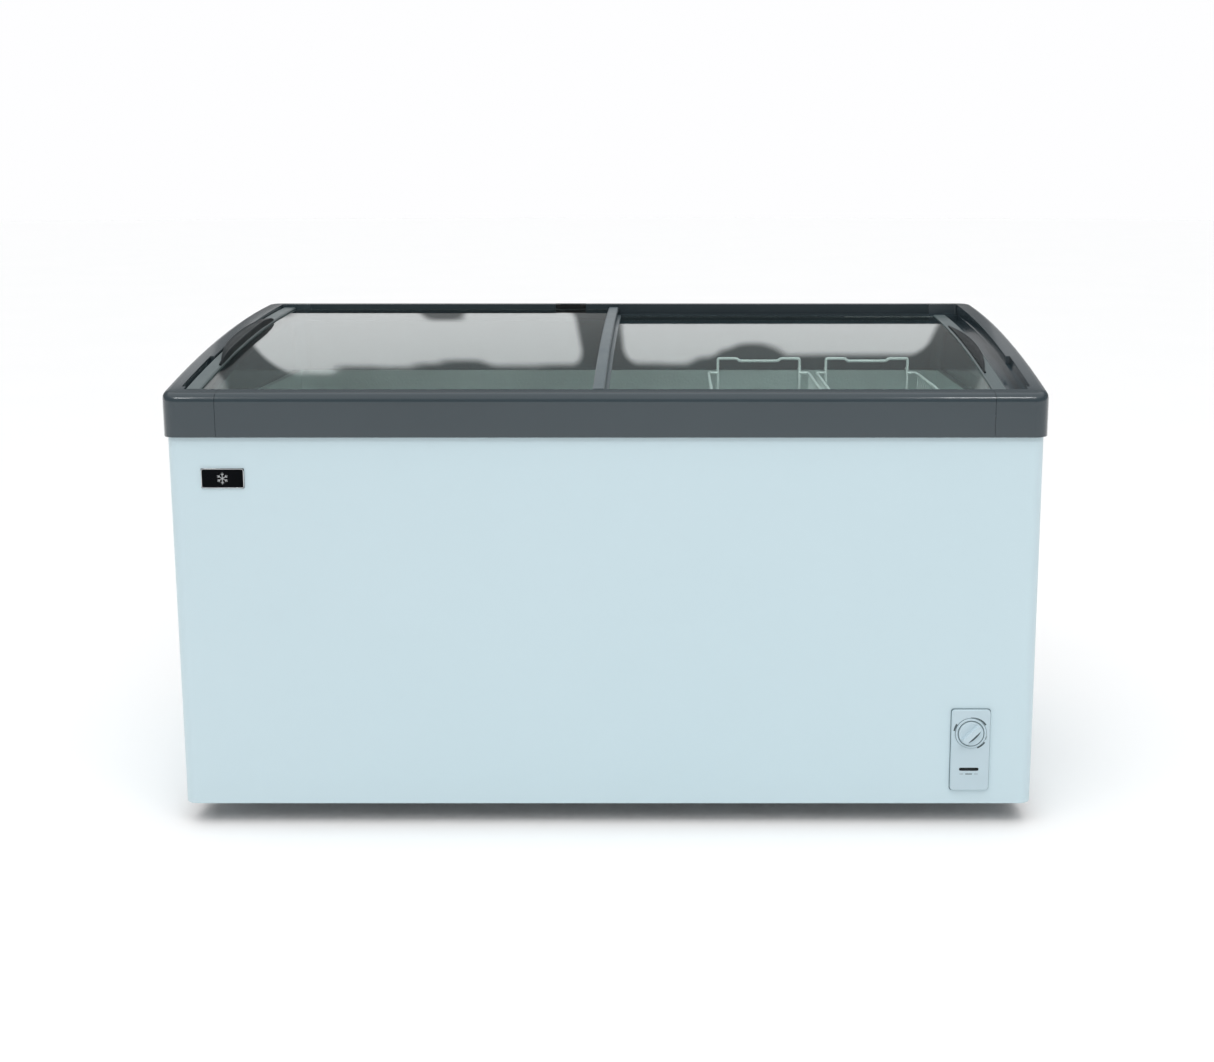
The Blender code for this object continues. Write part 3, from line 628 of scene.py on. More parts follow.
def rounded_path(corners: Sequence[Point], radius: float, closed: bool = False,
                 steps: int = 5) -> list[Point]:
    """Run a line through corners, each rounded with an arc.

    Args:
        corners: The sharp corner points.
        radius: Bend radius.
        closed: True for a loop.
        steps: Points round each bend.

    Returns:
        The points of the rounded line.
    """
    count = len(corners)
    path = []
    for i, corner in enumerate(corners):
        here = Vector(corner)
        if not closed and i in (0, count - 1):
            path.append(tuple(here))
            continue
        back = Vector(corners[i - 1]) - here
        ahead = Vector(corners[(i + 1) % count]) - here
        reach = min(radius, back.length * 0.45, ahead.length * 0.45)
        start = here + back.normalized() * reach
        end = here + ahead.normalized() * reach
        for k in range(steps + 1):
            t = k / steps
            path.append(tuple(start * (1 - t) ** 2 + here * 2 * t * (1 - t) + end * t ** 2))
    return path


def thickness(node: str, y: float) -> float:
    """How thick a CAD node is from top to bottom at one depth.

    Args:
        node: The CAD node.
        y: The depth of a section that has points.

    Returns:
        The thickness.
    """
    column = [v.co.z for v in frame["nodes"][node].data.vertices if abs(v.co.y - y) < FLUSH]
    return max(column) - min(column)


def top_line(node: str) -> Callable[[float], float]:
    """How high a CAD node's upper side is at any depth.

    Args:
        node: A CAD node that runs from front to back.

    Returns:
        A function from y to z.
    """
    highest: dict[float, float] = {}
    for vert in frame["nodes"][node].data.vertices:
        y = round(vert.co.y, 4)
        highest[y] = max(highest.get(y, -1.0), vert.co.z)
    line = sorted(highest.items())

    def height(y: float) -> float:
        """Find the height at one depth, between the two nearest points.

        Args:
            y: The depth.

        Returns:
            The height there.
        """
        for (y0, z0), (y1, z1) in zip(line, line[1:]):
            if y <= y1:
                return z0 + (z1 - z0) * (y - y0) / (y1 - y0)
        return line[-1][1]
    return height


# ------------------------------------------------------------------ geometry nodes

def new_tree(name: str,
             inputs: Sequence[tuple[str, str, object]]) -> tuple[bpy.types.NodeTree, bpy.types.Node]:
    """Start a geometry tree with named inputs.

    Args:
        name: The tree's name.
        inputs: Name, socket type and default of each input after the geometry.

    Returns:
        The tree and its Group Input node.
    """
    tree = bpy.data.node_groups.new(name, "GeometryNodeTree")
    tree.interface.new_socket("Geometry", in_out="INPUT", socket_type="NodeSocketGeometry")
    for label, kind, default in inputs:
        socket = tree.interface.new_socket(label, in_out="INPUT", socket_type=kind)
        if default is not None:
            socket.default_value = default
    tree.interface.new_socket("Geometry", in_out="OUTPUT", socket_type="NodeSocketGeometry")
    return tree, add_node(tree, "NodeGroupInput")


def finish_tree(tree: bpy.types.NodeTree, source: bpy.types.Node, instances: bpy.types.NodeSocket) -> None:
    """End a geometry tree: realize the copies, give them the material, and pass them on.

    Args:
        tree: The geometry tree.
        source: Its Group Input node, which has a Material socket.
        instances: Socket with the copies.
    """
    real = add_node(tree, "GeometryNodeRealizeInstances", None, {"Geometry": instances})
    dressed = add_node(tree, "GeometryNodeSetMaterial", None, {
        "Geometry": real.outputs["Geometry"], "Material": source.outputs["Material"]})
    add_node(tree, "NodeGroupOutput", None, {"Geometry": dressed.outputs["Geometry"]})


def row_tree() -> bpy.types.NodeTree:
    """Copies of a shape in a straight row.

    Returns:
        The tree, with the inputs Count, Step and Material.
    """
    name = "row_of_copies"
    if name in bpy.data.node_groups:
        return bpy.data.node_groups[name]
    tree, source = new_tree(name, (
        ("Count", "NodeSocketInt", 2), ("Step", "NodeSocketVector", None),
        ("Material", "NodeSocketMaterial", None)))
    line = add_node(tree, "GeometryNodeMeshLine", {"mode": "OFFSET"}, {
        "Count": source.outputs["Count"], "Offset": source.outputs["Step"]})
    copies = add_node(tree, "GeometryNodeInstanceOnPoints", None, {
        "Points": line.outputs["Mesh"], "Instance": source.outputs["Geometry"]})
    finish_tree(tree, source, copies.outputs["Instances"])
    return tree


def pile_tree() -> bpy.types.NodeTree:
    """Bristles on every point of a guide, each leaning a little its own way.

    Returns:
        The tree, with the inputs Lean, Seed, Width, Length and Material.
    """
    name = "bristles_on_line"
    if name in bpy.data.node_groups:
        return bpy.data.node_groups[name]
    tree, source = new_tree(name, (
        ("Lean", "NodeSocketFloat", 0.1), ("Seed", "NodeSocketInt", 7), ("Width", "NodeSocketFloat", 0.0004),
        ("Length", "NodeSocketFloat", 0.009), ("Material", "NodeSocketMaterial", None)))
    hair = add_node(tree, "GeometryNodeMeshCone", None, {
        "Vertices": 4, "Radius Top": source.outputs["Width"], "Radius Bottom": source.outputs["Width"],
        "Depth": source.outputs["Length"]})
    low = add_node(tree, "ShaderNodeMath", {"operation": "MULTIPLY"}, {0: source.outputs["Lean"], 1: -1.0})
    least = add_node(tree, "ShaderNodeCombineXYZ", None, {"X": low.outputs[0], "Y": low.outputs[0]})
    most = add_node(tree, "ShaderNodeCombineXYZ", None, {
        "X": source.outputs["Lean"], "Y": source.outputs["Lean"], "Z": math.pi})
    turn = add_node(tree, "FunctionNodeRandomValue", {"data_type": "FLOAT_VECTOR"}, {
        0: least.outputs[0], 1: most.outputs[0], "Seed": source.outputs["Seed"]})
    copies = add_node(tree, "GeometryNodeInstanceOnPoints", None, {
        "Points": source.outputs["Geometry"], "Instance": hair.outputs["Mesh"], "Rotation": turn.outputs[0]})
    finish_tree(tree, source, copies.outputs["Instances"])
    return tree


def grown(obj: bpy.types.Object, tree: bpy.types.NodeTree, stuff: Stuff, shift: Matrix | None = None,
          **values: object) -> bpy.types.Object:
    """Run a geometry tree on an object and keep the plain mesh that it makes.

    Args:
        obj: The object that holds the shape or the guide.
        tree: The geometry tree.
        stuff: The finish that the tree sets.
        shift: Where to carry the result.
        **values: Values for the tree's named inputs, with _ for a space.

    Returns:
        The object with its new mesh.
    """
    step = obj.modifiers.new("grown", "NODES")
    step.node_group = tree
    values["Material"] = stuff.material()
    sockets = {s.name: s.identifier for s in tree.interface.items_tree if s.in_out == "INPUT"}
    for name, value in values.items():
        step[sockets[name.replace("_", " ")]] = value
    settle(obj)
    if shift is not None:
        obj.data.transform(shift)
    smooth(obj.data)
    return obj


# ------------------------------------------------------------------ sub-assemblies

class SubAssembly:
    """A group of pieces that a workshop would build together."""

    def build(self) -> None:
        """Make and dress every piece of the group."""
        raise NotImplementedError


@dataclass
class TopFrame(SubAssembly):
    """The moulded frame round the lid: two rails, two end caps and the plate that the lock bites into.

    Attributes:
        crease: Angle above which a moulding's edge stays sharp.
        strike_edge: Rounding of the strike plate's edges.
    """

    crease: float = math.radians(28)
    strike_edge: float = 0.0004

    def build(self) -> None:
        """Dress the rails, the caps and the lock strike."""
        # the rear rail takes the darker copy of the frame ABS as painted shade
        for node, stuff in (("front_rail", Stuff.FRAME_ABS), ("rear_rail", Stuff.REAR_ABS),
                            ("left_end_cap", Stuff.FRAME_ABS), ("right_end_cap", Stuff.FRAME_ABS)):
            refined(node, stuff, angle=self.crease)
        refined("lock_strike", Stuff.NYLON, self.strike_edge)


@dataclass
class Cabinet(SubAssembly):
    """The white sheet wrap, the galvanised back and floor, the vents and what is fixed to the back.

    Attributes:
        screw_radius: Radius of the sheet screws' washer heads.
        screw_height: Height of those heads.
        rear_pitch: Distance between the screws of the rear panel.
        rear_inset: From the rear panel's top and bottom edges to its screws.
        side_margin: What the rear panel's rows leave free of its width.
        grille_inset: From a grille's edges to its screws, across and upward.
        flange: How far the side grille's flange lies inside its louvres.
        gland_edge: Rounding of the cord gland.
        spacer_edge: Rounding of the wall spacers.
    """

    screw_radius: float = 0.0048
    screw_height: float = 0.0024
    rear_pitch: float = 0.222
    rear_inset: tuple[float, float] = (0.012, 0.028)
    side_margin: float = 0.04
    grille_inset: tuple[float, float] = (0.006, 0.007)
    flange: float = 0.0024
    gland_edge: float = 0.0006
    spacer_edge: float = 0.0012

    def screw_head(self) -> bpy.types.Object:
        """Make a hexagon head with a washer, which points along Z, for the rows to copy.

        Returns:
            The head.
        """
        bm = bmesh.new()
        r, h = self.screw_radius, self.screw_height
        rows = []
        flat = math.tau / 6
        for radius, z, hexed in ((r, 0.0, False), (r, 0.15 * h, False), (r * 0.9, 0.25 * h, False),
                                 (r * 0.68, 0.25 * h, True), (r * 0.68, 0.85 * h, True), (r * 0.52, h, True)):
            row = []
            for k in range(24):
                a = math.tau * k / 24
                reach = radius
                if hexed:
                    reach = radius * math.cos(flat / 2) / math.cos(a % flat - flat / 2)
                row.append((reach * math.cos(a), reach * math.sin(a), z))
            rows.append(row)
        skin(bm, rows)
        return mesh_object("screw_head", bm, math.radians(25))

    def screws(self, name: str, count: int, step: Point, at: Point, facing: Matrix) -> None:
        """Add one row of screws.

        Args:
            name: Name of the row.
            count: How many.
            step: From one screw to the next.
            at: Place of the first.
            facing: Turns the heads' Z to where they face.
        """
        head = self.screw_head()
        head.name = name
        head.data.transform(facing)
        grown(head, row_tree(), Stuff.ZINC_PART, Matrix.Translation(at), Count=count, Step=step)
        place(head, Stuff.ZINC_PART, "cabinet")

    def build(self) -> None:
        """Dress the sheet metal and add its screws."""
        refined("cabinet_wrap", Stuff.ENAMEL, angle=math.radians(40))
        for node in ("rear_panel", "base_pan", "rear_vent_grille"):
            refined(node, Stuff.ZINC_SHEET)
        refined("side_vent_grille", Stuff.WHITE_ABS)
        refined("cord_gland", Stuff.RUBBER, self.gland_edge)
        refined("rear_spacer_left", Stuff.NYLON, self.spacer_edge)
        refined("rear_spacer_right", Stuff.NYLON, self.spacer_edge)
        refined("foam_insulation", Stuff.FOAM)
        self.rear_screws()
        self.grille_screws()

    def rear_screws(self) -> None:
        """Add the rows along the rear panel's top and bottom edges."""
        low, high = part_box("rear_panel")
        back = Matrix.Rotation(-math.pi / 2, 4, "X")
        face = high.y + 0.1 * MM
        count = int((high.x - low.x - self.side_margin) / self.rear_pitch) + 1
        first = (low.x + high.x) / 2 - self.rear_pitch * (count - 1) / 2
        under, over = self.rear_inset
        for name, z in (("rear_screws_top", high.z - under), ("rear_screws_bottom", low.z + over)):
            self.screws(name, count, (self.rear_pitch, 0, 0), (first, face, z), back)

    def grille_screws(self) -> None:
        """Add the pairs at both sides of the rear and side grilles."""
        across, up = self.grille_inset
        low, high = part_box("rear_vent_grille")
        back = Matrix.Rotation(-math.pi / 2, 4, "X")
        for name, x in (("vent_screws_left", low.x + across), ("vent_screws_right", high.x - across)):
            self.screws(name, 2, (0, 0, high.z - low.z - 2 * up), (x, high.y, low.z + up), back)
        low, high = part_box("side_vent_grille")
        side = Matrix.Rotation(math.pi / 2, 4, "Y")
        face = high.x - self.flange
        for name, y in (("side_screws_front", low.y + across), ("side_screws_rear", high.y - across)):
            self.screws(name, 2, (0, 0, high.z - low.z - 2 * up), (face, y, low.z + up), side)


@dataclass
class Tub(SubAssembly):
    """The stucco aluminium tub with its drain.

    Attributes:
        plug_edge: Rounding of the drain plug.
        bend: Angle above which a pipe's edge stays sharp.
    """

    plug_edge: float = 0.0006
    bend: float = math.radians(60)

    def build(self) -> None:
        """Dress the liner, the coil round it and the drain."""
        refined("inner_liner", Stuff.STUCCO)
        refined("evaporator_coil", Stuff.COPPER, angle=self.bend)
        refined("drain_plug", Stuff.WHITE_ABS, self.plug_edge)
        refined("drain_tube", Stuff.WHITE_ABS)


@dataclass
class Machine(SubAssembly):
    """What stands in the compressor bay.

    Attributes:
        edge: Rounding of the fan motor and the grommets.
        plate_edge: Rounding of the base plate.
        cover_edge: Rounding of the relay cover.
        grommets: How many the compressor stands on.
        shell: Angle above which the compressor shell's edges stay sharp.
        bend: The same for the pipes.
    """

    edge: float = 0.0008
    plate_edge: float = 0.0004
    cover_edge: float = 0.0015
    grommets: int = 4
    shell: float = math.radians(50)
    bend: float = math.radians(60)

    def build(self) -> None:
        """Dress the compressor, the fan and the pipework."""
        refined("compressor", Stuff.BLACK_ENAMEL, angle=self.shell)
        refined("compressor_plate", Stuff.ZINC_PART, self.plate_edge)
        for i in range(1, self.grommets + 1):
            refined(f"grommet_{i}", Stuff.RUBBER, self.edge)
        refined("relay_cover", Stuff.NYLON, self.cover_edge)
        for node in ("filter_drier", "suction_pipe"):
            refined(node, Stuff.COPPER, angle=self.bend)
        refined("condenser_coil", Stuff.BLACK_ENAMEL, angle=self.bend)
        refined("fan_bracket", Stuff.ZINC_PART)
        refined("fan_motor", Stuff.BLACK_ENAMEL, self.edge)
        refined("fan_blade", Stuff.WHITE_ABS)


@dataclass
class Door(SubAssembly):
    """A curved glass pane with its end moulding, inner profile, grip and runners.

    Attributes:
        side: The upper door is the left one, the lower door the right one.
        rim: Width of the grip's raised rim.
        dish: Depth of the grip's hollow.
        fade: Share of the grip's half length over which the hollow runs out at each end.
        steps: Sections along the grip.
        pane_crease: Angle above which the pane's edges stay sharp.
        grip_crease: The same for the grip.
    """

    side: Side
    rim: float = 0.0024
    dish: float = 0.0016
    fade: float = 0.10
    steps: int = 48
    pane_crease: float = math.radians(30)
    grip_crease: float = math.radians(50)

    def node(self, piece: str) -> str:
        """Name of one of this door's CAD nodes."""
        return f"{self.side.value}_door_{piece}"

    def grip(self) -> None:
        """Make the crescent grip: a rounded rim round a dished hollow for the fingers."""
        handle = self.node("handle")
        low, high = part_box(handle)
        outward = self.side.outward
        straight = high.x if outward < 0 else low.x
        bulge = high.x - low.x
        top = top_line(handle)
        centre, half = (low.y + high.y) / 2, (high.y - low.y) / 2
        depths = sorted({round(v.co.y, 4) for v in frame["nodes"][handle].data.vertices})
        thick = thickness(handle, min(depths, key=lambda y: abs(y - centre)))
        bm = bmesh.new()
        rows = []
        for i in range(self.steps + 1):
            t = -math.cos(math.pi * i / self.steps)
            y = centre + half * t * 0.998
            width = bulge * max(0.16, 1 - abs(t) ** 2.2) - FLUSH
            z = top(y)
            ends = min(1.0, (1 - abs(t)) / self.fade)
            rim = min(self.rim, width * 0.28)
            dish = self.dish * ends * min(1.0, max(0.0, (width - 2 * rim) / (bulge * 0.5)))
            section = [(0.0, -thick), (0.0, -rim * 0.5), (rim * 0.18, -rim * 0.12), (rim * 0.5, 0.0),
                       (rim * 0.85, -rim * 0.15), (rim, -dish * 0.4), (rim * 1.25, -dish * 0.85),
                       (width * 0.45, -dish), (width - rim * 2.2, -dish * 0.9),
                       (width - rim * 1.3, -dish * 0.45), (width - rim, -rim * 0.12),
                       (width - rim * 0.6, 0.0), (width - rim * 0.2, -rim * 0.15), (width, -rim * 0.6),
                       (width, -thick)]
            rows.append([(straight + outward * x, y, z + dz) for x, dz in section])
        skin(bm, rows)
        made = mesh_object(self.node("grip"), bm, self.grip_crease)
        place(made, Stuff.HANDLE_ABS, f"{self.side.value}_door", handle)

    def build(self) -> None:
        """Dress the pane, its plastic edges and its runners."""
        pane = refined(self.node("glass"), Stuff.GLASS, angle=self.pane_crease)
        pane.visible_shadow = False
        refined(self.node("end_moulding"), Stuff.MOULDING_ABS)
        refined(self.node("inner_profile"), Stuff.PROFILE_ABS)
        refined(self.node("front_runner"), Stuff.NYLON)
        refined(self.node("rear_runner"), Stuff.NYLON)
        self.grip()


@dataclass
class BrushSeal(SubAssembly):
    """The pile strip under the upper door's inner profile, which wipes the lower pane.

    Attributes:
        pitch: Distance between bristle tufts.
        rows: Rows of tufts.
        backing: Height of the strip's plastic back.
        section: Length of the back's straight pieces along the curve.
        end_gap: Bare length at each end of the back.
        tuft: Radius of a tuft.
        lean: How far a tuft leans, in radians.
        seed: Seed of the tufts' directions.
    """

    pitch: float = 0.0016
    rows: int = 3
    backing: float = 0.0018
    section: float = 0.02
    end_gap: float = 0.002
    tuft: float = 0.00045
    lean: float = 0.10
    seed: int = 11

    def build(self) -> None:
        """Make the backing strip and grow the bristles below it."""
        low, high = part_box("brush_seal")
        top = top_line("brush_seal")
        count = int((high.y - low.y) / self.section)
        bm = bmesh.new()
        strip = []
        for i in range(count + 1):
            y = low.y + (high.y - low.y) * i / count
            z = top(y)
            under = z - self.backing
            strip.append([(low.x, y, z), (high.x, y, z), (high.x, y, under), (low.x, y, under)])
        skin(bm, strip)
        place(mesh_object("brush_backing", bm), Stuff.NYLON, body_of("brush_seal"))
        length = thickness("brush_seal", low.y) - self.backing
        guide = bmesh.new()
        for row in range(self.rows):
            x = low.x + (high.x - low.x) * (row + 0.5) / self.rows
            for i in range(int((high.y - low.y - 2 * self.end_gap) / self.pitch)):
                y = low.y + self.end_gap + self.pitch * (i + 0.5 * (row % 2))
                guide.verts.new((x, y, top(y) - self.backing - length / 2))
        mesh = bpy.data.meshes.new("brush_pile")
        guide.to_mesh(mesh)
        guide.free()
        pile = bpy.data.objects.new("brush_pile", mesh)
        bpy.context.scene.collection.objects.link(pile)
        grown(pile, pile_tree(), Stuff.PILE, Lean=self.lean, Seed=self.seed, Width=self.tuft,
              Length=length * 0.97)
        place(pile, Stuff.PILE, body_of("brush_seal"), "brush_seal")


@dataclass
class Basket(SubAssembly):
    """A welded wire basket with a raised hanger frame at each end.

    Attributes:
        node: The CAD solid that it stands for.
        rim_wire: Radius of the rim and hanger wires.
        mesh_wire: Radius of the mesh wires.
        across: How many U wires cross it.
        along: How many wires run from end to end.
        corner: Bend radius at the basket's corners.
        loops: Heights of the horizontal wires, as shares of the depth.
        half_size: Half the rim's width and length, to the outside of its wire.
        rim_top: Height of the rim's upper side.
        taper: How much narrower each side is at the floor.
        hanger_half: Half the width of a hanger frame.
        dip: The hanger's lowered middle: where it starts, where it ends, and its depth.
        hanger_bend: Bend radius of a hanger.
        hook_drop: How far a hook's shank runs down below the rim.
        hook_rise: How far it runs up above the rim.
        hook_tip: Depth and height of the hook's tip, which lies on the liner's ledge.
        mesh_bend: Bend radius of the mesh wires.
    """

    node: str
    rim_wire: float = 0.0029
    mesh_wire: float = 0.0013
    across: int = 21
    along: int = 8
    corner: float = 0.022
    loops: tuple[float, ...] = (0.30, 0.62)
    half_size: tuple[float, float] = (0.108, 0.270)
    rim_top: float = 0.722
    taper: float = 0.010
    hanger_half: float = 0.0856
    dip: tuple[float, float, float] = (0.046, 0.040, 0.005)
    hanger_bend: float = 0.0045
    hook_drop: float = 0.03
    hook_rise: float = 0.0045
    hook_tip: tuple[float, float] = (0.2875, 0.7257)
    mesh_bend: float = 0.018

    def build(self) -> None:
        """Weld the basket: rim, hangers, hooks, loops and the mesh of U wires."""
        low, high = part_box(self.node)
        x = (low.x + high.x) / 2
        half_x, half_y = (half - self.rim_wire for half in self.half_size)
        floor, rim = low.z + self.mesh_wire, self.rim_top - self.rim_wire
        self.frame_wires(x, half_x, half_y, floor, rim, high.z - self.rim_wire)
        self.cross_wires(x, half_x, half_y, floor, rim)
        self.long_wires(x, half_x, half_y, floor, rim)

    def frame_wires(self, x: float, half_x: float, half_y: float, floor: float, rim: float,
                    hanger: float) -> None:
        """Weld the rim, the horizontal loops, the hangers and their hooks.

        Args:
            x: The basket's middle.
            half_x: Half the distance between the rim's long wires.
            half_y: Half the distance between its short wires.
            floor: Height of the floor wires.
            rim: Height of the rim wire.
            hanger: Height of a hanger's top wire.
        """
        bm = bmesh.new()

        def loop(z: float, radius: float) -> None:
            """Add one horizontal wire round the basket, drawn in a little lower down.

            Args:
                z: Its height.
                radius: Its radius.
            """
            draw = self.taper * (rim - z) / (rim - floor)
            hx, hy = half_x - draw, half_y - draw
            corners = [(x - hx, -hy, z), (x + hx, -hy, z), (x + hx, hy, z), (x - hx, hy, z)]
            wire(bm, rounded_path(corners, self.corner, closed=True), radius, closed=True)

        for share in self.loops:
            loop(rim + (floor - rim) * share, self.mesh_wire)
        foot = rim + (floor - rim) * self.loops[0]
        out = self.hanger_half
        dip_start, dip_end, dip_depth = self.dip
        tip_y, tip_z = self.hook_tip
        for side in (-1, 1):
            y = side * (half_y + 0.0012)
            outline = [(-out, foot), (-out, hanger), (-dip_start, hanger), (-dip_end, hanger - dip_depth),
                       (dip_end, hanger - dip_depth), (dip_start, hanger), (out, hanger), (out, foot)]
            wire(bm, rounded_path([(x + px, y, pz) for px, pz in outline], self.hanger_bend), self.rim_wire)
            edge, end = x + side * half_x, x + side * out
            run = [(end, -half_y, rim), (edge, -half_y, rim), (edge, half_y, rim), (end, half_y, rim)]
            wire(bm, rounded_path(run, self.corner * 0.6), self.rim_wire)
            for hook in (-1, 1):
                hx = x + hook * out
                bar = [(hx, side * half_y, rim - self.hook_drop), (hx, side * half_y, rim + self.hook_rise),
                       (hx, side * tip_y, tip_z)]
                wire(bm, rounded_path(bar, 0.006), self.rim_wire * 0.9)
        made = mesh_object(self.node + "_rim", bm, math.radians(50))
        place(made, Stuff.WIRE, body_of(self.node), self.node)

    def cross_wires(self, x: float, half_x: float, half_y: float, floor: float, rim: float) -> None:
        """Weld in the U wires that cross the basket.

        Args:
            x: The basket's middle.
            half_x: Half the distance between the rim's long wires.
            half_y: Half the distance between its short wires.
            floor: Height of the floor wires.
            rim: Height of the rim wire.
        """
        bm = bmesh.new()
        draw = half_x - self.taper
        span = 2 * (half_y - self.taper - 0.012)
        outline = [(x - half_x, 0, rim), (x - draw, 0, floor), (x + draw, 0, floor), (x + half_x, 0, rim)]
        wire(bm, rounded_path(outline, self.mesh_bend), self.mesh_wire, 8)
        made = mesh_object(self.node + "_cross_wires", bm, math.radians(50))
        grown(made, row_tree(), Stuff.WIRE, Matrix.Translation((0, -span / 2, 0)), Count=self.across,
              Step=(0, span / (self.across - 1), 0))
        place(made, Stuff.WIRE, body_of(self.node))

    def long_wires(self, x: float, half_x: float, half_y: float, floor: float, rim: float) -> None:
        """Weld in the wires that run from end to end, over the cross wires.

        Args:
            x: The basket's middle.
            half_x: Half the distance between the rim's long wires.
            half_y: Half the distance between its short wires.
            floor: Height of the floor wires.
            rim: Height of the rim wire.
        """
        bm = bmesh.new()
        reach = half_y - self.taper
        start = rim + (floor - rim) * self.loops[0]
        lean = half_y - self.taper * self.loops[0]
        over = floor + 0.0022
        outline = [(0, -lean, start), (0, -reach, over), (0, reach, over), (0, lean, start)]
        wire(bm, rounded_path(outline, self.mesh_bend), self.mesh_wire, 8)
        made = mesh_object(self.node + "_long_wires", bm, math.radians(50))
        width = 2 * (half_x - self.taper - 0.014)
        grown(made, row_tree(), Stuff.WIRE, Matrix.Translation((x - width / 2, 0, 0)), Count=self.along,
              Step=(width / (self.along - 1), 0, 0))
        place(made, Stuff.WIRE, body_of(self.node))


@dataclass
class Controls(SubAssembly):
    """The badge, and the thermostat panel with its dial, knob and lamp.

    Attributes:
        print_height: Thickness of the printed marks.
        shade_radius: Radius of the painted shadow line round the panel.
        panel_edge: Rounding of the panel's edges.
        ring_edge: Rounding of the dial ring's.
        knob_edge: Rounding of the knob's and the thermostat's.
        lamp_edge: Rounding of the lamp window's.
        plate_edge: Rounding of the badge plate's.
        band: Where the knob's painted shadow starts and ends, from the middle of its grip.
        band_reach: Half the painted shadow's length.
        wedges: Printed arcs: start and end angle in degrees, width at the start and at the end.
        dashes: Printed dashes under the lamp: left and right end, and half the height.
    """

    print_height: float = 0.00012
    shade_radius: float = 0.0009
    panel_edge: float = 0.0014
    ring_edge: float = 0.0005
    knob_edge: float = 0.0006
    lamp_edge: float = 0.0003
    plate_edge: float = 0.0004
    band: tuple[float, float] = (0.0050, 0.0114)
    band_reach: float = 0.0178
    wedges: tuple[tuple[float, float, float, float], ...] = (
        (172.0, 146.0, 0.0026, 0.0030), (92.0, 30.0, 0.0005, 0.0032), (-10.0, -24.0, 0.0006, 0.0010),
        (-34.0, -66.0, 0.0030, 0.0026),
    )
    dashes: tuple[tuple[float, float, float], ...] = (
        (-0.0160, -0.0095, 0.0003), (-0.0060, 0.0060, 0.0008), (0.0095, 0.0160, 0.0003),
    )

    def snowflake(self, bm: bmesh.types.BMesh, centre: Point, reach: float) -> None:
        """Add a plain six-armed snowflake, raised from the plate.

        Args:
            bm: The mesh to add to.
            centre: Its middle, on the plate's face.
            reach: Length of an arm.
        """
        def bar(a: tuple[float, float], b: tuple[float, float], half: float) -> None:
            """Add one straight raised stroke.

            Args:
                a: Its start, from the middle.
                b: Its end.
                half: Half its width.
            """
            along = Vector((b[0] - a[0], b[1] - a[1])).normalized()
            across = Vector((-along.y, along.x)) * half
            corner = [(centre[0] + px + s * across.x, centre[1], centre[2] + pz + s * across.y)
                      for px, pz, s in ((*a, -1), (*b, -1), (*b, 1), (*a, 1))]
            skin(bm, [corner, [(px, py - self.print_height, pz) for px, py, pz in corner]])

        for arm in range(6):
            turn = math.radians(30 + 60 * arm)
            unit = (math.cos(turn), math.sin(turn))
            bar((0.0, 0.0), (unit[0] * reach, unit[1] * reach), 0.00035)
            for fork in (-1, 1):
                tip = turn + fork * math.radians(48)
                root = (unit[0] * reach * 0.55, unit[1] * reach * 0.55)
                end = (root[0] + math.cos(tip) * reach * 0.34, root[1] + math.sin(tip) * reach * 0.34)
                bar(root, end, 0.00030)

    def badge(self) -> None:
        """The dark plate in its polished rim, with a snowflake for an emblem."""
        refined("badge_plate", Stuff.BADGE, self.plate_edge)
        low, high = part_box("badge_plate")
        cx, cz = (low.x + high.x) / 2, (low.z + high.z) / 2
        hx, hz = (high.x - low.x) / 2 - 0.0010, (high.z - low.z) / 2 - 0.0010
        bm = bmesh.new()
        y = low.y + 0.0004
        corners = [(cx - hx, y, cz - hz), (cx + hx, y, cz - hz), (cx + hx, y, cz + hz), (cx - hx, y, cz + hz)]
        wire(bm, rounded_path(corners, 0.004, closed=True), 0.0008, 8, closed=True)
        place(mesh_object("badge_rim", bm, math.radians(60)), Stuff.CHROME_TRIM, "cabinet")
        bm = bmesh.new()
        self.snowflake(bm, (cx, low.y, cz), hz * 0.62)
        place(mesh_object("badge_snowflake", bm), Stuff.CHROME_TRIM, "cabinet")

    def scale(self) -> None:
        """Printed wedges round the dial, from warm to cold, and the dashes under the lamp."""
        low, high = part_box("dial_ring")
        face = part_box("control_panel")[0].y
        cx, cz = (low.x + high.x) / 2, (low.z + high.z) / 2
        inner = (high.x - low.x) / 2 + 0.0009
        bm = bmesh.new()
        for start, end, thin, thick in self.wedges:
            count = max(4, int(abs(end - start) / 4))
            rows = []
            for i in range(count + 1):
                share = i / count
                a = math.radians(start + (end - start) * share)
                outer = inner + thin + (thick - thin) * share
                rows.append([(cx + r * math.cos(a), y, cz + r * math.sin(a))
                             for r, y in ((inner, face), (outer, face), (outer, face - self.print_height),
                                          (inner, face - self.print_height))])
            skin(bm, rows)
        lamp_low, lamp_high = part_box("power_lamp")
        middle, z = (lamp_low.x + lamp_high.x) / 2, lamp_low.z - 0.0062
        for left, right, half in self.dashes:
            corner = [(middle + left, face, z - half), (middle + right, face, z - half),
                      (middle + right, face, z + half), (middle + left, face, z + half)]
            skin(bm, [corner, [(px, py - self.print_height, pz) for px, py, pz in corner]])
        place(mesh_object("dial_scale", bm), Stuff.PRINT, "cabinet")

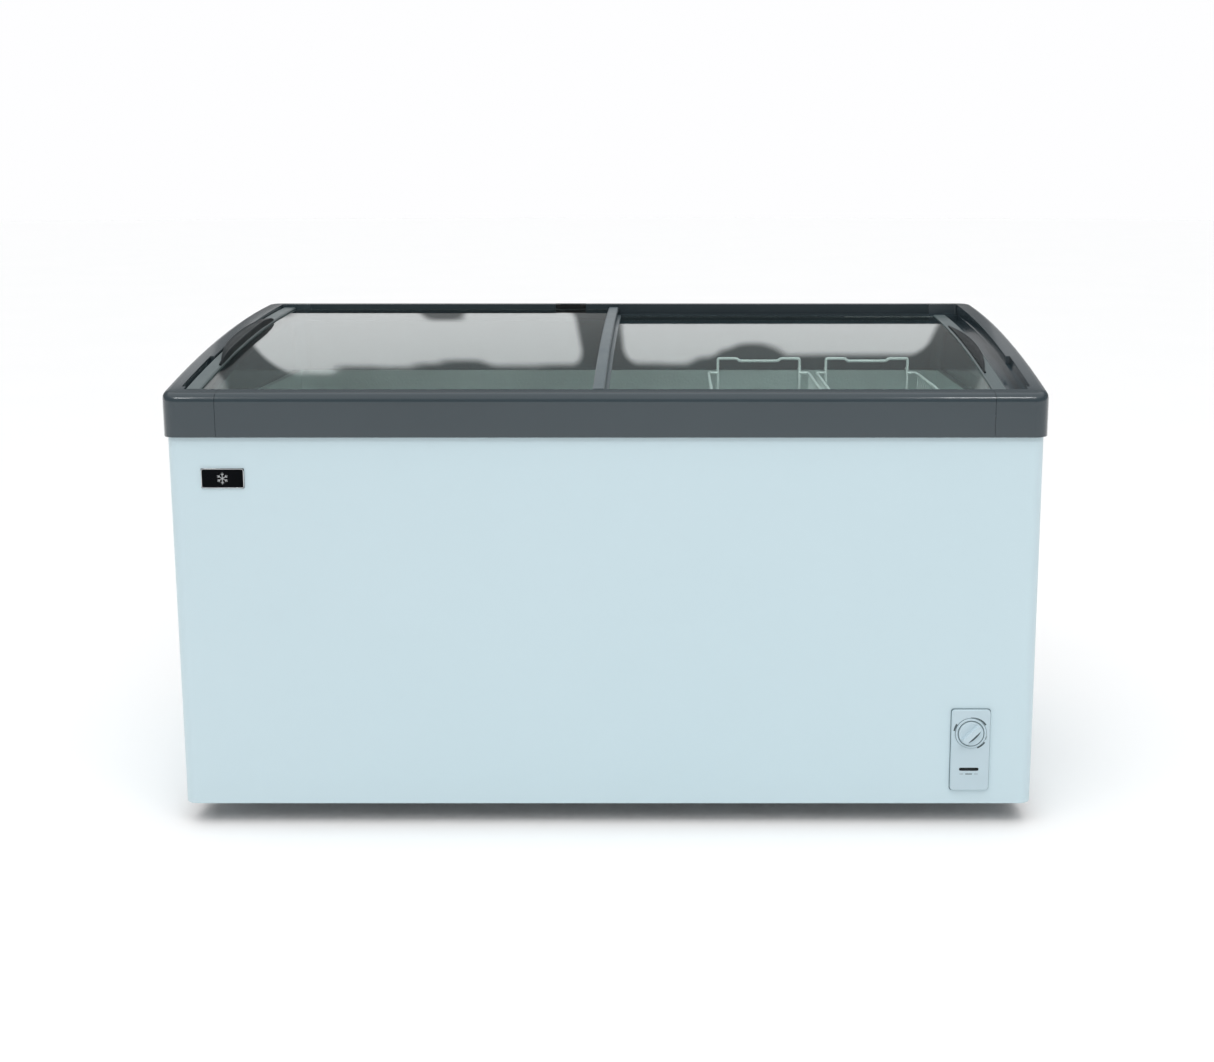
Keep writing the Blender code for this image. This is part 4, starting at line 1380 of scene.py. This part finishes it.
    def outlines(self) -> None:
        """Painted shade: a grey line round the panel and two round the dial ring, where shade falls in the
        gaps at their edges.
        """
        low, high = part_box("control_panel")
        bm = bmesh.new()
        y = high.y - 0.0006
        corners = [(low.x, y, low.z), (high.x, y, low.z), (high.x, y, high.z), (low.x, y, high.z)]
        # painted shadow line along the panel's edge
        wire(bm, rounded_path(corners, 0.0045, closed=True), self.shade_radius, 8, closed=True)
        place(mesh_object("panel_painted_shadow", bm, math.radians(60)), Stuff.GASKET, "cabinet")
        ring_low, ring_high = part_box("dial_ring")
        cx, cz = (ring_low.x + ring_high.x) / 2, (ring_low.z + ring_high.z) / 2
        bm = bmesh.new()
        outer = (ring_high.x - ring_low.x) / 2
        for radius, y in ((outer, low.y + 0.0001), (outer - 0.0042, low.y - 0.0019)):
            loop = [(cx + radius * math.cos(math.tau * k / 72), y, cz + radius * math.sin(math.tau * k / 72))
                    for k in range(72)]
            # painted shade lines at the dial ring's outer and inner edges
            wire(bm, loop, self.shade_radius * 0.65, 8, closed=True)
        place(mesh_object("dial_painted_shade", bm, math.radians(60)), Stuff.GASKET, "cabinet")

    def painted_grip_shadow(self) -> None:
        """A painted shadow: a dark grey stripe on the knob's face along the lower right side of its grip,
        where the grip's shade falls.
        """
        low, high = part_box("thermostat_knob")
        cx, cz = (low.x + high.x) / 2, (low.z + high.z) / 2
        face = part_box("control_panel")[0].y - 0.0040
        unit = math.sqrt(0.5)
        bm = bmesh.new()
        rows = []
        for i in range(17):
            u = self.band_reach * (i / 8 - 1)
            taper = math.sqrt(max(0.02, 1 - (u / self.band_reach) ** 2))
            near, far = -self.band[0], -self.band[0] - (self.band[1] - self.band[0]) * taper
            rows.append([(cx + unit * (u - v), y, cz + unit * (u + v))
                         for v, y in ((near, face), (far, face), (far, face - self.print_height),
                                      (near, face - self.print_height))])
        skin(bm, rows)
        # painted shadow of the grip, in the grey print finish
        place(mesh_object("knob_painted_shadow", bm), Stuff.PRINT, body_of("thermostat_knob"))

    def build(self) -> None:
        """Dress the panel, the dial and the badge."""
        refined("control_panel", Stuff.WHITE_ABS, self.panel_edge)
        refined("dial_ring", Stuff.WHITE_ABS, self.ring_edge)
        refined("thermostat_knob", Stuff.WHITE_ABS, self.knob_edge)
        # painted shadow beside the knob's grip
        self.painted_grip_shadow()
        refined("thermostat_body", Stuff.ZINC_PART, self.knob_edge)
        refined("power_lamp", Stuff.LAMP, self.lamp_edge)
        self.badge()
        self.scale()
        self.outlines()


@dataclass
class Caster(SubAssembly):
    """A swivelling fork and its wheel.

    Attributes:
        row: The front or the rear pair.
        side: Which of the pair it is.
        fork_edge: Rounding of the fork's edges.
        wheel_edge: Rounding of the wheel's edges.
    """

    row: Row
    side: Side
    fork_edge: float = 0.0004
    wheel_edge: float = 0.0008

    def build(self) -> None:
        """Dress the fork and the wheel."""
        where = f"{self.row.value}_{self.side.value}"
        refined(f"caster_fork_{where}", Stuff.ZINC_PART, self.fork_edge)
        refined(f"caster_wheel_{where}", Stuff.RUBBER, self.wheel_edge)


# ------------------------------------------------------------------ studio

@dataclass(frozen=True)
class Panel:
    """A soft area light.

    Attributes:
        name: Its name.
        at: Where it stands.
        aim: What it points at.
        size: Width and height.
        power: Watts.
        glossy: True where it may show in reflections.
    """

    name: str
    at: Point
    aim: Point
    size: tuple[float, float]
    power: float
    glossy: bool = True

    def build(self) -> None:
        """Make the light."""
        lamp = bpy.data.lights.new(self.name, "AREA")
        lamp.shape = "RECTANGLE"
        lamp.size, lamp.size_y = self.size
        lamp.energy = self.power
        made = bpy.data.objects.new(self.name, lamp)
        made.location = self.at
        made.rotation_euler = (Vector(self.aim) - Vector(self.at)).to_track_quat("-Z", "Y").to_euler()
        made.visible_camera = False
        made.visible_glossy = self.glossy
        bpy.context.scene.collection.objects.link(made)


@dataclass(frozen=True)
class Glow:
    """One rounded patch of a soft window light far behind the freezer.

    Attributes:
        across: Its left and right ends, as eight times x over y of the direction.
        upward: Its lower and upper ends, as z over y of the direction.
        corner: Radius of its corners.
    """

    across: tuple[float, float]
    upward: tuple[float, float]
    corner: float = 0.085

    def build(self, tree: bpy.types.NodeTree, slope: bpy.types.NodeSocket) -> bpy.types.NodeSocket:
        """Add the patch's outline to a world.

        Args:
            tree: The world's tree.
            slope: Directions as eight times x over y, and z over y.

        Returns:
            How far each direction lies outside the outline.
        """
        centre = (sum(self.across) / 2, sum(self.upward) / 2, 0.0)
        core = [max(0.0, (high - low) / 2 - self.corner) for low, high in (self.across, self.upward)]
        offset = add_node(tree, "ShaderNodeVectorMath", {"operation": "SUBTRACT"}, {0: slope, 1: centre})
        size = add_node(tree, "ShaderNodeVectorMath", {"operation": "ABSOLUTE"}, {0: offset.outputs[0]})
        outside = add_node(tree, "ShaderNodeVectorMath", {"operation": "SUBTRACT"}, {
            0: size.outputs[0], 1: (*core, 0.0)})
        clipped = add_node(tree, "ShaderNodeVectorMath", {"operation": "MAXIMUM"}, {
            0: outside.outputs[0], 1: (0.0, 0.0, 0.0)})
        far = add_node(tree, "ShaderNodeVectorMath", {"operation": "LENGTH"}, {0: clipped.outputs[0]})
        return add_node(tree, "ShaderNodeMath", {"operation": "SUBTRACT"}, {
            0: far.outputs["Value"], 1: self.corner}).outputs[0]


@dataclass(frozen=True)
class Window:
    """Patches of light that melt into one soft shape.

    Attributes:
        glows: The patches.
        level: The brightness of the whole.
        edge: Half the width of its fading edge.
        melt: How far apart two patches still run together.
    """

    glows: tuple[Glow, ...]
    level: float = 1.0
    edge: float = 0.026
    melt: float = 0.09

    def build(self, tree: bpy.types.NodeTree, slope: bpy.types.NodeSocket) -> bpy.types.NodeSocket:
        """Add the window's light to a world.

        Args:
            tree: The world's tree.
            slope: Directions as eight times x over y, and z over y.

        Returns:
            The window's light in each direction.
        """
        outlines = [glow.build(tree, slope) for glow in self.glows]
        shape = outlines[0]
        for outline in outlines[1:]:
            shape = add_node(tree, "ShaderNodeMath", {"operation": "SMOOTH_MIN"}, {
                0: shape, 1: outline, 2: self.melt}).outputs[0]
        fade = (-self.edge, self.edge, self.level, 0.0)
        return add_node(tree, "ShaderNodeMapRange", SMOOTH, {
            "Value": shape, **dict(zip(RANGE, fade))}).outputs["Result"]


@dataclass
class Studio:
    """A pale floor, a pale horizon that darkens overhead, soft panels and the camera.

    Attributes:
        eye: Where the camera stands.
        pitch: How far it looks down, in degrees.
        lens: Focal length in millimetres.
        shift: Lens shift that frames the freezer.
        floor: Floor radius.
        sun_power: Strength of the daylight.
        sun_spread: Its angular width, in degrees.
        behind: How bright the sky behind the freezer is: from one rise of the direction to another, it
            goes from one level to another.
        before: The same for the sky in front.
        above: The same for the glow overhead.
        turn: Where directions go from the rear sky to the front one.
        lift: How the windows brighten upward.
        panels: The lights.
        windows: Soft lights behind the freezer, which show in the glass.
    """

    eye: Point = (0.1158, -2.7463, 1.1234)
    pitch: float = 8.832
    lens: float = 42.898
    shift: tuple[float, float] = (-0.0553, -0.105)
    floor: float = 40.0
    sun_power: float = 1.40
    sun_spread: float = 70.0
    behind: Ramp = (0.03, 0.10, 0.85, 0.20)
    before: Ramp = (0.50, 0.85, 0.22, 0.85)
    above: Ramp = (0.56, 0.72, 0.0, 0.85)
    turn: Ramp = (0.45, 0.05, 0.0, 1.0)
    lift: Ramp = (0.17, 0.50, 0.68, 1.20)
    panels: Sequence[Panel] = field(default_factory=lambda: (
        Panel("key", (2.0, -3.6, 3.2), (0.3, 0.0, 0.5), (2.2, 1.8), 11.0, False),
        Panel("fill", (-3.4, -3.0, 1.8), (0.0, 0.0, 0.5), (2.4, 2.4), 1.0, False),
        Panel("rim", (1.30, -1.9, 3.0), (0.6, -0.3, 0.7), (0.5, 0.12), 7.0),
        Panel("glint", (-1.6, -1.8, 2.6), (-0.7, -0.3, 0.7), (0.16, 0.16), 3.0),
    ))
    windows: Sequence[Window] = (
        Window((Glow((-2.16, -1.42), (0.165, 0.505)), Glow((-2.33, -1.60), (0.230, 0.525)),
                Glow((-2.52, -2.10), (0.310, 0.565), 0.11), Glow((-1.19, -0.56), (0.165, 0.522)),
                Glow((-1.90, -0.80), (0.262, 0.500)))),
        Window((Glow((-0.30, 0.14), (0.165, 0.485)), Glow((-0.10, 0.28), (0.180, 0.450)),
                Glow((0.00, 0.38), (0.205, 0.400)), Glow((0.20, 0.75), (0.240, 0.338)),
                Glow((0.53, 0.90), (0.205, 0.385)), Glow((0.62, 1.50), (0.165, 0.438)))),
        Window((Glow((-6.00, -2.90), (0.050, 0.650)),), 0.46),
        Window((Glow((1.95, 5.00), (0.050, 0.650)),), 0.30),
    )

    def sky(self) -> None:
        """A world that is pale round the horizon, dim overhead, with soft window light behind the freezer."""
        world = bpy.data.worlds.new("studio")
        bpy.context.scene.world = world
        world.use_nodes = True
        tree = world.node_tree
        tree.nodes.clear()
        ray = add_node(tree, "ShaderNodeTexCoord").outputs["Generated"]
        split = add_node(tree, "ShaderNodeSeparateXYZ", None, {0: ray})
        behind, before, above, side = (
            add_node(tree, "ShaderNodeMapRange", SMOOTH, {
                "Value": split.outputs[axis], **dict(zip(RANGE, ramp))})
            for axis, ramp in (("Z", self.behind), ("Z", self.before), ("Z", self.above), ("Y", self.turn)))
        ahead = add_node(tree, "ShaderNodeMath", {"operation": "MAXIMUM"}, {0: split.outputs["Y"], 1: 0.001})
        across = add_node(tree, "ShaderNodeMath", {"operation": "DIVIDE"}, {
            0: split.outputs["X"], 1: ahead.outputs[0]})
        upward = add_node(tree, "ShaderNodeMath", {"operation": "DIVIDE"}, {
            0: split.outputs["Z"], 1: ahead.outputs[0]})
        wide = add_node(tree, "ShaderNodeMath", {"operation": "MULTIPLY"}, {0: across.outputs[0], 1: 8.0})
        slope = add_node(tree, "ShaderNodeCombineXYZ", None, {"X": wide.outputs[0], "Y": upward.outputs[0]})
        patches = [window.build(tree, slope.outputs[0]) for window in self.windows]
        whole = patches[0]
        for patch in patches[1:]:
            whole = add_node(tree, "ShaderNodeMath", {"operation": "MAXIMUM"}, {
                0: whole, 1: patch}).outputs[0]
        rise = add_node(tree, "ShaderNodeMapRange", None, {
            "Value": upward.outputs[0], **dict(zip(RANGE, self.lift))})
        whole = add_node(tree, "ShaderNodeMath", {"operation": "MULTIPLY"}, {
            0: whole, 1: rise.outputs["Result"]}).outputs[0]
        base = add_node(tree, "ShaderNodeMix", {"data_type": "FLOAT"}, {
            0: side.outputs["Result"], FLOAT_A: behind.outputs["Result"], FLOAT_B: before.outputs["Result"]})
        full = add_node(tree, "ShaderNodeMath", {"operation": "MAXIMUM"}, {
            0: base.outputs[0], 1: above.outputs["Result"]})
        level = add_node(tree, "ShaderNodeMath", {"operation": "ADD"}, {0: whole, 1: full.outputs[0]})
        seen = add_node(tree, "ShaderNodeLightPath").outputs["Is Camera Ray"]
        shown = add_node(tree, "ShaderNodeMix", {"data_type": "FLOAT"}, {
            0: seen, FLOAT_A: level.outputs[0], FLOAT_B: 1.0})
        back = add_node(tree, "ShaderNodeBackground", None, {
            "Color": linear("#FEFEFF"), "Strength": shown.outputs[0]})
        add_node(tree, "ShaderNodeOutputWorld", None, {"Surface": back.outputs[0]})

    def daylight(self) -> None:
        """One very soft light from high up in front, which lights floor and freezer alike."""
        lamp = bpy.data.lights.new("daylight", "SUN")
        lamp.energy = self.sun_power
        lamp.angle = math.radians(self.sun_spread)
        made = bpy.data.objects.new("daylight", lamp)
        made.rotation_euler = (math.radians(20), math.radians(-6), 0.0)
        made.visible_glossy = False
        bpy.context.scene.collection.objects.link(made)

    def ground(self) -> None:
        """A round, matt, pale floor."""
        bm = bmesh.new()
        bmesh.ops.create_circle(bm, cap_ends=True, segments=96, radius=self.floor)
        mesh = bpy.data.meshes.new("floor")
        bm.to_mesh(mesh)
        bm.free()
        made = bpy.data.objects.new("floor", mesh)
        made.location.z = CAD_BOX[0][2] - FLUSH
        bpy.context.scene.collection.objects.link(made)
        matt, tree, shader = blank_material("pale_floor")
        patches = add_node(tree, "ShaderNodeTexNoise", None, {
            "Vector": add_node(tree, "ShaderNodeTexCoord").outputs["Object"],
            "Scale": scale_of(900.0), "Detail": 3.0})
        tint = add_node(tree, "ShaderNodeMix", {"data_type": "RGBA"}, {
            0: patches.outputs["Fac"], COLOUR_A: linear("#FFFFFF"), COLOUR_B: linear("#FCFDFD")})
        tree.links.new(tint.outputs[COLOUR_OUT], shader.inputs["Base Color"])
        shader.inputs["Roughness"].default_value = 0.9
        shader.inputs["Specular IOR Level"].default_value = 0.1
        made.data.materials.append(matt)

    def camera(self) -> None:
        """The camera, level from side to side and looking a little down."""
        data = bpy.data.cameras.new("camera")
        data.lens = self.lens
        data.sensor_width = 36.0
        data.shift_x, data.shift_y = self.shift
        made = bpy.data.objects.new("camera", data)
        made.location = self.eye
        made.rotation_euler = (math.radians(90 - self.pitch), 0.0, 0.0)
        bpy.context.scene.collection.objects.link(made)
        bpy.context.scene.camera = made

    def build(self) -> None:
        """Set up the whole studio."""
        self.sky()
        self.daylight()
        self.ground()
        self.camera()
        for panel in self.panels:
            panel.build()
        bpy.context.scene.view_settings.view_transform = "Standard"


def main() -> None:
    """Build the studio and every sub-assembly."""
    logging.basicConfig(level=logging.INFO, format="%(name)s: %(message)s")
    Studio().build()
    parts: list[SubAssembly] = [
        Cabinet(), Tub(), Machine(), TopFrame(), Door(Side.LEFT), Door(Side.RIGHT), BrushSeal(), Controls(),
        Basket("basket_1"), Basket("basket_2"),
    ]
    parts += [Caster(row, side) for row in Row for side in Side]
    for part in parts:
        LOG.info("building %s", type(part).__name__)
        part.build()


if __name__ == "__main__":
    main()
